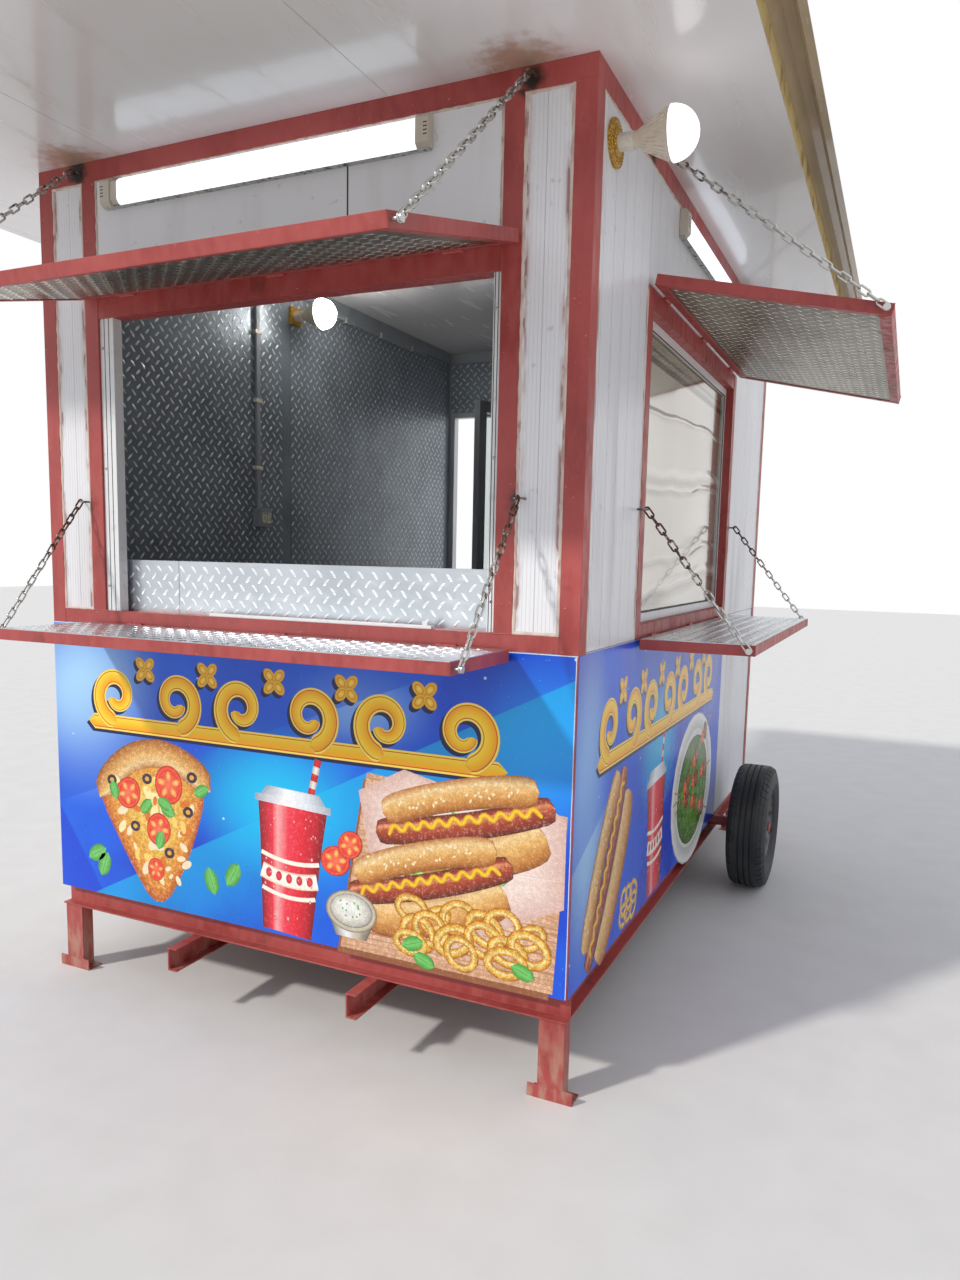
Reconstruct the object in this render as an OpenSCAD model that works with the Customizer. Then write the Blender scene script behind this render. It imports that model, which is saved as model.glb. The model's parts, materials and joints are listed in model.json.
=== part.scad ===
/* [Cabin] */
// Width of the cabin over its steel frame
body_w = 2000; // [1850:10:2400]
// Depth of the cabin over its steel frame
body_d = 3100; // [2950:10:3600]
// Height from the underside of the base frame to the underside of the roof
wall_h = 2600; // [2560:10:2800]
// Thickness of the sandwich panels in the walls
wall_t = 50; // [40:5:56]
// How far the panels sit behind the outer face of the steel
panel_set = 3; // [1:1:5]
// Width of the open joint between two panels
joint_gap = 2; // [1.5:0.5:4]
// Thickness of the floor deck
floor_t = 20; // [12:1:30]

/* [Steel frame] */
// Side of the square corner posts
post_w = 60; // [58:2:80]
// Height of the beams under the roof
beam_h = 62; // [50:2:80]
// Height of the base frame channel
base_h = 80; // [70:5:100]
// Depth of the base frame channel
base_flange = 40; // [30:5:50]
// Thickness of the channel steel
steel_t = 5; // [4:0.5:6]
// Width of the joists under the floor
joist_w = 40; // [30:5:50]
// Wall thickness of the tube members
tube_t = 3; // [2:0.5:4]
// Distance that two butted members stay apart at their weld
weld_gap = 0.3; // [0.1:0.1:0.5]

/* [Undercarriage] */
// Height of the base frame above the ground
leg_h = 245; // [240:5:260]
// Width of a leg
leg_w = 80; // [60:5:100]
// Depth of a leg
leg_d = 50; // [40:5:60]
// Length of a foot
foot_w = 140; // [110:5:160]
// Height of the upright flange of a foot
foot_h = 40; // [30:5:50]
// Depth of the flat flange of a foot
foot_d = 65; // [60:5:90]
// Distance between the two chassis rails, centre to centre
rail_gap = 707; // [600:10:800]
// Width of a chassis rail
rail_w = 38; // [34:2:44]
// Height of a chassis rail
rail_h = 80; // [70:5:100]
// How far the chassis rails stick out in front
rail_nose = 125; // [80:5:200]
// Outer diameter of the tyres
tyre_d = 588; // [560:2:588]
// Width of the tyres
tyre_w = 180; // [165:5:190]
// Clear space between the cabin wall and a tyre
tyre_gap = 100; // [90:5:130]
// Distance of the axle behind the front face
axle_y = 2190; // [2000:10:2300]
// Height of the axle above the underside of the base frame
axle_z = 50; // [50:1:52]
// Diameter of the axle tube
axle_d = 50; // [44:2:50]
// Diameter of the wheel spindles
spindle_d = 30; // [24:1:34]
// Diameter of the wheel rims
rim_d = 340; // [320:5:360]

/* [Roof] */
// Width of one roof panel
panel_w = 1005; // [950:5:1050]
// Thickness of a roof panel without its ribs
roof_t = 62; // [50:2:80]
// Thickness of the roof sheets
sheet_t = 2; // [1:0.5:3]
// Height of the ribs on the roof
rib_h = 34; // [25:1:40]
// How far the roof reaches past the right wall
roof_right = 392; // [350:5:500]
// How far the roof reaches past the front
roof_front = 900; // [800:10:1000]
// How far the roof reaches past the rear
roof_rear = 300; // [200:10:400]
// Width of the free lip on the right edge of the roof
lip_w = 93; // [90:1:110]

/* [Serving hatches] */
// Width of each hatch frame over its jambs
hatch_w = 1600; // [1500:10:1660]
// Width of a jamb
jamb_w = 57; // [50:1:60]
// Height of the underside of the middle rail
rail_z = 1065; // [1050:5:1080]
// Height of the middle rail itself
rail_t = 47; // [44:1:50]
// Height of the upper edge of the front hatch frame
front_head_z = 2162; // [2162:1:2190]
// Height of the upper edge of the side hatch frame
side_head_z = 2185; // [2165:5:2195]
// Height of the head member of a hatch frame
head_h = 65; // [55:5:70]
// Distance of the side hatch frame behind the front face
side_hatch_y = 570; // [540:10:600]
// Height of the chequer plate upstand above the sill
upstand_h = 178; // [120:2:200]
// Distance of the upstand's seam left of the middle
upstand_seam = 460; // [300:10:600]
// Distance of the panel seam over the front hatch right of the middle
head_seam = 248; // [100:4:500]
// Reach of the window sill strip left of the middle
strip_left = 290; // [200:10:400]
// Reach of the window sill strip right of the middle
strip_right = 540; // [450:10:600]

/* [Flaps] */
// Length of an awning flap from its hinge to its outer edge
awning_len = 710; // [640:2:714]
// Length of a counter flap from its hinge to its outer edge
counter_len = 374; // [300:2:378]
// Height of the angle steel around a flap
flap_t = 34; // [30:1:40]
// Thickness of the angle steel around a flap
angle_t = 3; // [3:0.5:5]
// Thickness of the chequer plate
plate_t = 2; // [1.5:0.5:4]
// Slope of the open front awning in degrees
front_drop = 14.5; // [10:0.5:20]
// Slope of the open side awning in degrees
side_drop = 12.5; // [10:0.5:20]
// Distance of a hinge axis in front of the steel
hinge_out = 8; // [8:0.5:10]
// Outer diameter of a hinge barrel
barrel_d = 12; // [10:0.5:12]
// Diameter of a hinge pin
pin_d = 6; // [5:0.5:7]
// Height of a counter hinge axis above the underside of the middle rail
counter_axis = 4; // [4:1:5]
// Height of an awning hinge axis below the upper edge of its frame
awning_axis = 3; // [3:1:4]

/* [Chains] */
// Wire diameter of the chain links
wire_d = 6; // [5:0.5:7]
// Width of a chain link
link_w = 23; // [21:0.5:26]
// Wanted pitch of the chain links
link_pitch = 34; // [30:1:40]
// Distance of a chain to the side of its flap
chain_side = 19; // [17:1:24]
// Distance of a chain hook in front of the wall
hook_out = 25; // [22:1:30]
// Height of the awning chain hooks
awning_hook_z = 2570; // [2550:1:2590]
// Height of the counter chain hooks
counter_hook_z = 1487; // [1470:1:1520]

/* [Rear door] */
// Clear width of the doorway inside its frame
door_w = 640; // [600:10:700]
// Height of the upper edge of the doorway frame
door_head_z = 2230; // [2100:10:2300]
// Width of a doorway frame member
door_frame_w = 30; // [25:1:40]
// Thickness of the door leaf
leaf_t = 40; // [35:1:45]
// Width of the stiles of the door leaf
stile_w = 60; // [50:2:80]
// Angle at which the door stands open in the photographed state
door_open = 75; // [60:1:90]
// Running gap around the door leaf
door_gap = 5; // [5:0.5:8]

/* [Fittings] */
// Length of a tube lamp
lamp_len = 1218; // [1100:2:1300]
// Height of a tube lamp
lamp_h = 90; // [70:2:100]
// Depth of a tube lamp
lamp_d = 32; // [25:1:40]
// Length of the end caps of a tube lamp
lamp_cap = 42; // [30:2:60]
// Distance of the front lamp's middle left of the cabin's middle
front_lamp_x = 81; // [60:1:100]
// Distance of the side lamp's middle behind the front face
side_lamp_y = 1540; // [1500:10:1700]
// Height of the bulbs above the underside of the base frame
bulb_z = 2440; // [2400:5:2445]
// Distance of the outside bulb behind the front face
outside_bulb_y = 160; // [150:5:200]
// Distance of the inside bulb behind the front face
inside_bulb_y = 1380; // [1200:10:1500]
// Diameter of the bulb domes
bulb_d = 138; // [100:2:150]
// Diameter of the outside lamp rose
rose_d = 125; // [100:5:150]
// Thickness of window glass
glass_t = 6; // [4:1:8]

/* [Hidden] */

red_oxide = [0.50, 0.20, 0.18];
panel_white = [0.88, 0.88, 0.87];
aluminium = [0.75, 0.77, 0.79];
zinc = [0.62, 0.62, 0.60];

curve_steps = 48;
small_steps = 24;
seat_gap = 0.3;
half_w = body_w / 2;
panel_face = panel_set;
panel_back = panel_set + wall_t;
wall_top = wall_h - beam_h;
floor_top = base_h + floor_t;
sill_top = rail_z + rail_t;

// Outline of the whole object, from which its origin follows
flap_reach = hinge_out + awning_len * cos(side_drop) + flap_t * sin(side_drop);
x_min = half_w + roof_right - 3 * panel_w;
x_max = max(half_w + flap_reach, half_w + roof_right + lip_w);
mid_x = (x_min + x_max) / 2;
mid_y = (body_d + roof_rear - roof_front) / 2;

// Serving hatches
front_hatch_x = -hatch_w / 2;
side_hatch_end = side_hatch_y + hatch_w;
hatch_depth = post_w;
open_w = hatch_w - 2 * jamb_w;

// Flaps
side_mid_y = side_hatch_y + hatch_w / 2;
barrel_r = barrel_d / 2;
flap_back = barrel_r + 1;
counter_z = rail_z + counter_axis;
hinge_spread = 600;
hinge_half = 12;
hinge_side = 20;

// Rear door
door_left = -half_w + post_w;
door_right = door_left + door_w + 2 * door_frame_w;
door_axis_x = door_right - door_frame_w - door_gap / 2;
leaf_set = barrel_r + 1;
leaf_proud = 5;
door_axis_y = body_d - panel_back - leaf_proud - leaf_set;
leaf_w = door_w - 2 * door_gap;
leaf_bottom = floor_top + 8;
leaf_top = door_head_z - door_frame_w - door_gap;
leaf_mid_z = 1000;

// Moves a piece from the cabin's own frame, whose zero is the middle of the front
// at the underside of the base frame, to the part's frame
module place() {
    translate([-mid_x, -mid_y, leg_h]) children();
}

// A block from its lowest to its highest corner
module block(low, high) {
    translate(low) cube([high[0] - low[0], high[1] - low[1], high[2] - low[2]]);
}

// Frame of a flap on the front: x along the hinge, -y outwards, z up
module front_flap(z, slope) {
    place() translate([0, -hinge_out, z]) rotate([slope, 0, 0]) children();
}

// Frame of a flap on the right side, turned from the front one
module side_flap(z, slope) {
    place() translate([half_w + hinge_out, side_mid_y, z]) rotate([0, 0, 90]) rotate([slope, 0, 0]) children();
}

// Hollow member from its lowest to its highest corner, open at both ends along one axis
module tube(low, high, axis) {
    bore_low = [for (i = [0 : 2]) i == axis ? low[i] - 1 : low[i] + tube_t];
    bore_high = [for (i = [0 : 2]) i == axis ? high[i] + 1 : high[i] - tube_t];
    difference() {
        block(low, high);
        block(bore_low, bore_high);
    }
}

// Channel profile with its web at the back and its open side towards -y
module channel_profile(depth, height, t) {
    difference() {
        square([depth, height]);
        translate([-1, t]) square([depth - t + 1, height - 2 * t]);
    }
}

// Channel that runs along x from x0 to x1, open towards -y
module channel_x(x0, x1, depth, height, t) {
    translate([x0, 0, 0]) rotate([90, 0, 90]) linear_extrude(x1 - x0) channel_profile(depth, height, t);
}

module base_frame() {
    color(red_oxide) place() {
        channel_x(-half_w, half_w, base_flange, base_h, steel_t);
        translate([0, body_d, 0]) mirror([0, 1, 0]) channel_x(-half_w, half_w, base_flange, base_h, steel_t);
        for (side = [-1, 1]) difference() {
            scale([side, 1, 1]) side_channel();
            translate([side * half_w, axle_y, axle_z]) rotate([0, 90, 0])
                cylinder(h = 4 * base_flange, d = axle_d + 2 * seat_gap, center = true, $fn = curve_steps);
        }
        for (i = [1 : 5]) joist(body_d * i / 6);
    }
}

// Channel along the right side, open outwards, cut back to clear the front and rear channels
module side_channel() {
    translate([half_w, base_flange + weld_gap, 0]) rotate([0, 0, 90])
        channel_x(0, body_d - 2 * (base_flange + weld_gap), base_flange, base_h, steel_t);
}

// Joist that carries the floor between the side channels, clear of the axle tube
module joist(y) {
    inner = half_w - base_flange - weld_gap;
    at_y = abs(y - axle_y) < axle_d / 2 + joist_w ? axle_y + axle_d / 2 + joist_w : y;
    translate([0, at_y - joist_w / 2, 0]) channel_x(-inner, inner, joist_w, base_h, steel_t);
}

module chassis() {
    color(red_oxide) place() {
        for (side = [-1, 1]) translate([side * rail_gap / 2, -rail_nose, -rail_h])
            rotate([0, 0, 90]) translate([0, -rail_w / 2, 0])
                channel_x(0, body_d + rail_nose, rail_w, rail_h, steel_t);
        translate([0, axle_y, axle_z]) rotate([0, 90, 0]) axle();
        for (side = [-1, 1]) saddle(side * rail_gap / 2);
    }
}

// Length of the axle tube from the middle to the wheel hub
hub_in = half_w + tyre_gap + 20;
hub_len = tyre_w - 50;
hub_d = 84;

// Axle tube with a spindle, a shoulder and a hub nut at each end
module axle() {
    tube_end = hub_in - seat_gap;
    nut_start = hub_in + hub_len + seat_gap;
    nut_len = 16;
    cylinder(h = 2 * tube_end, d = axle_d, center = true, $fn = curve_steps);
    cylinder(h = 2 * (nut_start + nut_len), d = spindle_d, center = true, $fn = curve_steps);
    for (side = [-1, 1]) translate([0, 0, side * (nut_start + nut_len / 2)])
        cylinder(h = nut_len, d = spindle_d * 1.5, center = true, $fn = 6);
}

// Block that seats the axle tube on a chassis rail
module saddle(x) {
    difference() {
        block([x - rail_w / 2, axle_y - axle_d, 0], [x + rail_w / 2, axle_y + axle_d, axle_z]);
        translate([x, axle_y, axle_z]) rotate([0, 90, 0])
            cylinder(h = 2 * rail_w, d = axle_d + 2 * seat_gap, center = true, $fn = curve_steps);
    }
}

module legs() {
    inset = 6;
    color(red_oxide) place() for (side = [-1, 1], end = [0, 1]) {
        translate([side * (half_w - inset - leg_w / 2), end * body_d, 0])
            scale([1, end == 0 ? 1 : -1, 1]) leg(inset);
    }
}

// One leg in its own frame: the middle of its width at zero, inset behind the front face
module leg(inset) {
    tube([-leg_w / 2, inset, -leg_h + steel_t], [leg_w / 2, inset + leg_d, 0], 2);
    translate([-foot_w / 2, inset - steel_t, -leg_h]) rotate([90, 0, 90]) linear_extrude(foot_w)
        polygon([[0, 0], [foot_d, 0], [foot_d, steel_t], [steel_t, steel_t], [steel_t, foot_h], [0, foot_h]]);
}

module floor_deck() {
    edge_x = half_w - panel_back;
    notch = post_w + seat_gap;
    color(zinc) place() difference() {
        block([-edge_x, panel_back, base_h], [edge_x, body_d - panel_back, floor_top]);
        for (side = [-1, 1], end = [0, 1]) translate([side * half_w, end * body_d, 0])
            block([-notch, -notch, base_h - 1], [notch, notch, floor_top + 1]);
    }
}

module corner_posts() {
    color(red_oxide) place() for (side = [-1, 1], end = [0, 1]) {
        x = side * (half_w - post_w / 2);
        y = end == 0 ? post_w / 2 : body_d - post_w / 2;
        tube([x - post_w / 2, y - post_w / 2, base_h], [x + post_w / 2, y + post_w / 2, wall_top], 2);
    }
}

module top_beams() {
    inner = post_w + weld_gap;
    color(red_oxide) place() {
        for (y = [0, body_d - post_w]) capped_beam(y);
        for (x = [-half_w, half_w - post_w]) tube([x, inner, wall_top], [x + post_w, body_d - inner, wall_h], 1);
    }
}

// Beam across the cabin with closed ends, open downwards into the two posts that carry it
module capped_beam(y) {
    difference() {
        block([-half_w, y, wall_top], [half_w, y + post_w, wall_h]);
        block([-half_w + tube_t, y + tube_t, wall_top + tube_t],
            [half_w - tube_t, y + post_w - tube_t, wall_h - tube_t]);
        for (side = [-1, 1]) translate([side * (half_w - post_w / 2), y + post_w / 2, wall_top])
            cylinder(h = 4 * tube_t, d = post_w / 2, center = true, $fn = small_steps);
    }
}

// Barrels and pins of the three hinges of a flap, with the blocks that weld them to the steel
module fixed_barrels() {
    reach = hinge_half + hinge_side + weld_gap;
    for (i = [-1 : 1]) translate([i * hinge_spread, 0, 0]) {
        rotate([0, 90, 0]) cylinder(h = 2 * reach, d = pin_d, center = true, $fn = small_steps);
        for (s = [-1, 1]) {
            mid = s * (hinge_half + weld_gap + hinge_side / 2);
            translate([mid, 0, 0]) rotate([0, 90, 0])
                cylinder(h = hinge_side, d = barrel_d, center = true, $fn = small_steps);
            block([mid - hinge_side / 2, 0, -pin_d / 2], [mid + hinge_side / 2, hinge_out, pin_d / 2]);
        }
    }
}

// Members of a hatch frame in its own frame: x from its left edge, y inwards, z up
module hatch_members(jamb_top, head_z) {
    open_x = jamb_w + weld_gap;
    for (x = [0, hatch_w - jamb_w]) tube([x, 0, sill_top + weld_gap], [x + jamb_w, hatch_depth, jamb_top], 2);
    tube([open_x, 0, head_z - head_h], [hatch_w - open_x, hatch_depth, head_z], 0);
}

module front_hatch_frame() {
    color(red_oxide) place() {
        translate([front_hatch_x, 0, 0]) hatch_members(wall_top, front_head_z);
        tube([-half_w + post_w, 0, rail_z], [half_w - post_w, hatch_depth, sill_top], 0);
    }
    color(red_oxide) front_flap(front_head_z - awning_axis, 0) fixed_barrels();
    color(red_oxide) front_flap(counter_z, 0) fixed_barrels();
}

module side_hatch_frame() {
    color(red_oxide) place() translate([half_w, side_hatch_y, 0]) rotate([0, 0, 90]) {
        hatch_members(side_head_z, side_head_z);
        tube([0, 0, rail_z], [hatch_w, hatch_depth, sill_top], 0);
    }
    color(red_oxide) side_flap(side_head_z - awning_axis, 0) fixed_barrels();
    color(red_oxide) side_flap(counter_z, 0) fixed_barrels();
}

// Sandwich panel of the front wall between two x and two heights
module front_panel(x0, x1, z0, z1) {
    block([x0, panel_face, z0], [x1, panel_back, z1]);
}

// Sandwich panel of the right wall between two y and two heights
module right_panel(y0, y1, z0, z1) {
    block([half_w - panel_back, y0, z0], [half_w - panel_face, y1, z1]);
}

module front_wall() {
    post_x = half_w - post_w;
    color(panel_white) place() {
        front_panel(-post_x, post_x, base_h, rail_z);
        for (side = [-1, 1]) scale([side, 1, 1]) front_panel(hatch_w / 2, post_x, sill_top, wall_top);
        front_panel(front_hatch_x + jamb_w, head_seam, front_head_z, wall_top);
        front_panel(head_seam + joint_gap, -front_hatch_x - jamb_w, front_head_z, wall_top);
    }
}

module right_wall() {
    rear_y = body_d - post_w;
    color(panel_white) place() {
        right_panel(post_w, rear_y, base_h, rail_z);
        right_panel(post_w, side_hatch_y, rail_z + joint_gap, wall_top);
        right_panel(side_hatch_end, rear_y, rail_z + joint_gap, wall_top);
        right_panel(side_hatch_y + joint_gap, side_hatch_end - joint_gap, side_head_z, wall_top);
    }
}

module left_wall() {
    run = floor((body_d - 2 * post_w) / 3);
    starts = [post_w, post_w + run, post_w + 2 * run];
    ends = [starts[1] - joint_gap, starts[2] - joint_gap, body_d - post_w];
    color(panel_white) place() for (i = [0 : 2])
        block([-half_w + panel_face, starts[i], base_h], [-half_w + panel_back, ends[i], wall_top]);
}

module rear_wall() {
    face = body_d - panel_face;
    back = body_d - panel_back;
    color(panel_white) place() {
        block([door_right, back, base_h], [half_w - post_w, face, wall_top]);
        block([door_left, back, door_head_z], [door_right - joint_gap, face, wall_top]);
    }
}

// Chequer plate on the inner faces of the walls, between the posts
module inner_lining() {
    seam_y = 1350;
    left_x = -half_w + panel_back;
    right_x = half_w - panel_back;
    rear_y = body_d - panel_back;
    far_y = body_d - post_w;
    post_x = half_w - post_w;
    color(aluminium) place() {
        for (run = [[post_w, seam_y], [seam_y + joint_gap, far_y]])
            block([left_x, run[0], floor_top], [left_x + plate_t, run[1], wall_top]);
        block([door_right, rear_y - plate_t, floor_top], [post_x, rear_y, wall_top]);
        block([door_left, rear_y - plate_t, door_head_z], [door_right - joint_gap, rear_y, wall_top]);
        block([right_x - plate_t, post_w, floor_top], [right_x, far_y, rail_z]);
        block([-post_x, panel_back, floor_top], [post_x, panel_back + plate_t, rail_z]);
    }
}

// Number and spacing of the ribs on one roof panel
rib_count = 4;
rib_foot = 60;
rib_head = 26;

// Free rib on the right edge: where its foot and crest start and end, from the panel's edge
lip_foot = 10;
lip_crest = [27, 53];
lip_flat = 22;

// Upper outline of a roof panel from left to right, lifted by t
function rib_line(t) = [
    for (i = [0 : rib_count - 1])
        let (x = panel_w * (i + 0.5) / rib_count)
        each [[x - rib_foot / 2, t], [x - rib_head / 2, t + rib_h], [x + rib_head / 2, t + rib_h], [x + rib_foot / 2, t]]
];

// Runs a profile along the roof, at panel number i from the left
module along_roof(i) {
    translate([x_min + i * panel_w, body_d + roof_rear, wall_h]) rotate([90, 0, 0])
        linear_extrude(body_d + roof_rear + roof_front) children();
}

module roof_foam() {
    color("khaki") place() for (i = [0 : 2]) along_roof(i)
        polygon(concat([[0, sheet_t]], [[0, roof_t - sheet_t]], rib_line(roof_t - sheet_t),
            [[panel_w - joint_gap, roof_t - sheet_t], [panel_w - joint_gap, sheet_t]]));
}

module roof_sheets() {
    color(panel_white) place() for (i = [0 : 2]) {
        along_roof(i) square([panel_w - joint_gap, sheet_t]);
        along_roof(i) top_sheet(i == 2);
    }
}

// Ribbed top sheet, which ends in a free rib on the right edge of the roof
module top_sheet(with_lip) {
    low = roof_t - sheet_t;
    over = rib_line(roof_t);
    under = rib_line(low);
    edge = panel_w - joint_gap;
    lip_line = function (z) [[edge + lip_foot, z], [edge + lip_crest[0], z + rib_h],
        [edge + lip_crest[1], z + rib_h], [edge + lip_w - lip_flat, z], [edge + lip_w, z]];
    top = concat([[0, roof_t]], over, with_lip ? lip_line(roof_t) : [[edge, roof_t]]);
    bottom = concat([[0, low]], under, with_lip ? lip_line(low) : [[edge, low]]);
    count = len(bottom);
    polygon(concat(top, [for (k = [1 : count]) bottom[count - k]]));
}

// Printed film, stuck over the panels and posts, and filled out to the steel between them
film_t = 1;
film_edge = 4;
film_low = base_h - 7;
film_high = rail_z - 3;

module front_vinyl() {
    post_x = half_w - post_w;
    color("royalblue") place() {
        block([-half_w, -film_t, film_low], [half_w - film_edge, 0, film_high]);
        block([-post_x, -film_t, base_h], [post_x, panel_face, film_high]);
    }
}

// Film on the lower right wall, up to the end of the side hatch
module side_vinyl() {
    color("royalblue") place() {
        block([half_w, film_edge, film_low], [half_w + film_t, side_hatch_end, film_high]);
        block([half_w - panel_face, post_w, base_h], [half_w + film_t, side_hatch_end, film_high]);
    }
}

// Pale window profiles inside the front opening
module window_rails() {
    left_w = 60;
    right_w = 25;
    depth = 38;
    inset = 8;
    strip_d = 24;
    strip_h = 10;
    knob = [18, 14, 12];
    knob_x = strip_right - 30;
    low = sill_top;
    high = front_head_z - head_h;
    open_x = front_hatch_x + jamb_w;
    color("white") place() {
        block([open_x, inset, low], [open_x + left_w, inset + depth, high]);
        block([-open_x - right_w, inset, low], [-open_x, inset + depth, high]);
        block([-strip_left, inset, low], [strip_right, inset + strip_d, low + strip_h]);
        block([knob_x, inset, low + strip_h - 1], [knob_x + knob[0], inset + knob[1], low + strip_h + knob[2]]);
    }
}

// Sash frame of the side window, set back in its opening
module side_window_sash() {
    color("white") place() translate([half_w, side_mid_y, 0]) rotate([0, 0, 90]) sash_bars();
}

sash_w = 32;
sash_front = 34;
sash_back = 58;

// Four sash bars in the frame of the opening: x along the wall, y inwards, z up
module sash_bars() {
    low = sill_top;
    high = side_head_z - head_h;
    for (side = [-1, 1]) scale([side, 1, 1])
        block([open_w / 2 - sash_w, sash_front, low], [open_w / 2, sash_back, high]);
    run = open_w / 2 - sash_w - weld_gap;
    block([-run, sash_front, low], [run, sash_back, low + sash_w]);
    block([-run, sash_front, high - sash_w], [run, sash_back, high]);
}

module side_window_glass() {
    low = sill_top + sash_w;
    high = side_head_z - head_h - sash_w;
    run = open_w / 2 - sash_w;
    mid = (sash_front + sash_back) / 2;
    color("lightsteelblue") place() translate([half_w, side_mid_y, 0]) rotate([0, 0, 90])
        block([-run, mid - glass_t / 2, low], [run, mid + glass_t / 2, high]);
}

// Folded chequer plate behind the front sill, in two lengths
module counter_upstand() {
    y0 = hatch_depth - plate_t;
    fold = 40;
    ends = [-open_w / 2, -upstand_seam, open_w / 2];
    color(aluminium) place() for (i = [0, 1]) {
        x0 = ends[i];
        x1 = ends[i + 1] - (i == 0 ? joint_gap : 0);
        translate([x0, y0, sill_top]) rotate([90, 0, 90]) linear_extrude(x1 - x0)
            polygon([[0, 0], [plate_t, 0], [plate_t, upstand_h - plate_t], [fold, upstand_h - plate_t],
                [fold, upstand_h], [0, upstand_h]]);
    }
}

// Staple whose bar runs along x, standing out of the wall at y = 0
module hook(out) {
    half = 11;
    for (side = [-1, 1]) translate([side * half, -out, 0]) rotate([-90, 0, 0])
        cylinder(h = out, d = wire_d, $fn = small_steps);
    translate([0, -out, 0]) rotate([0, 90, 0])
        cylinder(h = 2 * half + wire_d, d = wire_d, center = true, $fn = small_steps);
}

// Four hooks of one hatch in the frame of its middle: x along the wall, y inwards
module hatch_hooks() {
    x = hatch_w / 2 + chain_side;
    for (side = [-1, 1]) {
        translate([side * x, 0, awning_hook_z]) hook(hook_out);
        translate([side * x, panel_set, counter_hook_z]) hook(hook_out + panel_set);
    }
}

module chain_hooks() {
    color(zinc) place() {
        hatch_hooks();
        translate([half_w, side_mid_y, 0]) rotate([0, 0, 90]) hatch_hooks();
    }
}

// One link of the wanted inner length, standing along z in the xz plane
module link(inner) {
    r = (link_w - wire_d) / 2;
    straight = inner + wire_d - 2 * r;
    for (s = [-1, 1]) {
        translate([s * r, 0, 0]) cylinder(h = straight, d = wire_d, center = true, $fn = small_steps);
        translate([0, 0, s * straight / 2]) rotate([90, 0, 0]) rotate([0, 0, s < 0 ? 180 : 0])
            rotate_extrude(angle = 180, $fn = small_steps) translate([r, 0]) circle(d = wire_d, $fn = small_steps);
    }
}

stud_d = 8;
link_step = 0.02;

// Taut chain from a hook at the origin down to a stud that lies at [0, -out, -drop].
// The count of links is odd. Their inner length is fitted to the distance in whole steps,
// and what is left over is shared out as play in the joints.
module chain(out, drop) {
    reach = sqrt(out * out + drop * drop);
    count = 2 * round((reach / link_pitch - 1) / 2) + 1;
    between = reach + (wire_d + stud_d) / 2;
    inner = ceil((between + (count + 1) * seat_gap) / count / link_step) * link_step;
    play = (count * inner - between) / (count + 1);
    first = inner / 2 - wire_d / 2 - play;
    rotate([-atan2(out, drop), 0, 0]) {
        for (i = [0 : count - 1]) translate([0, 0, -first - i * (inner - play)])
            rotate([0, 0, i % 2 == 0 ? 90 : 0]) link(inner);
        translate([0, 0, -reach]) rotate([0, 90, 0]) stud();
    }
}

// Headed stud that holds the last link, and ends just short of the side of the flap
module stud() {
    head_d = 20;
    head_t = 4;
    from_flap = chain_side - 0.5;
    past_link = wire_d / 2 + 1;
    translate([0, 0, -from_flap]) cylinder(h = from_flap + past_link, d = stud_d, $fn = small_steps);
    translate([0, 0, past_link]) cylinder(h = head_t, d = head_d, $fn = small_steps);
}

// Both chains of a flap. The stud sits near the outer corner of the flap.
module chain_pair(hook_z, axis_z, flap_len, rise, slope) {
    edge = 16;
    u = flap_len - edge;
    out = hinge_out + u * cos(slope) + rise * sin(slope) - hook_out;
    drop = hook_z - axis_z + u * sin(slope) - rise * cos(slope);
    for (side = [-1, 1]) scale([side, 1, 1])
        translate([hatch_w / 2 + chain_side, -hook_out, hook_z]) chain(out, drop);
}

module awning_chains(head_z, slope) {
    chain_pair(awning_hook_z, head_z - awning_axis, awning_len, flap_t / 2, slope);
}

module counter_chains() {
    chain_pair(counter_hook_z, counter_z, counter_len, -flap_t / 2, 0);
}

module front_awning_chains() {
    color(zinc) place() awning_chains(front_head_z, front_drop);
}

module front_counter_chains() {
    color(zinc) place() counter_chains();
}

module side_awning_chains() {
    color(zinc) place() translate([half_w, side_mid_y, 0]) rotate([0, 0, 90]) awning_chains(side_head_z, side_drop);
}

module side_counter_chains() {
    color(zinc) place() translate([half_w, side_mid_y, 0]) rotate([0, 0, 90]) counter_chains();
}

// Tube lamp in the frame of a wall: x along it from the lamp's middle, y inwards, z from its lower edge
module tube_lamp() {
    cap_x = lamp_len / 2 - lamp_cap;
    inset = 5;
    translate([-cap_x - 1, 0, 0]) rotate([90, 0, 90]) linear_extrude(2 * cap_x + 2) lamp_profile(inset);
    for (side = [-1, 1]) scale([side, 1, 1])
        translate([cap_x, 0, 0]) rotate([90, 0, 90]) linear_extrude(lamp_cap) lamp_profile(0);
}

// Section of a tube lamp: y out of the wall, and its height, with cut front corners
module lamp_profile(inset) {
    corner = 12;
    front = -lamp_d + inset;
    low = inset;
    high = lamp_h - inset;
    polygon([[0, low], [0, high], [front + corner, high], [front, high - corner], [front, low + corner],
        [front + corner, low]]);
}

module tube_lamps() {
    lamp_z = wall_top - 10 - lamp_h;
    color("white") place() {
        translate([-front_lamp_x, panel_face, lamp_z]) tube_lamp();
        translate([half_w - panel_face, side_lamp_y, lamp_z]) rotate([0, 0, 90]) tube_lamp();
    }
}

holder_len = 42;
holder_d = 46;
rose_t = 14;
plate_side = 80;

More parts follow.
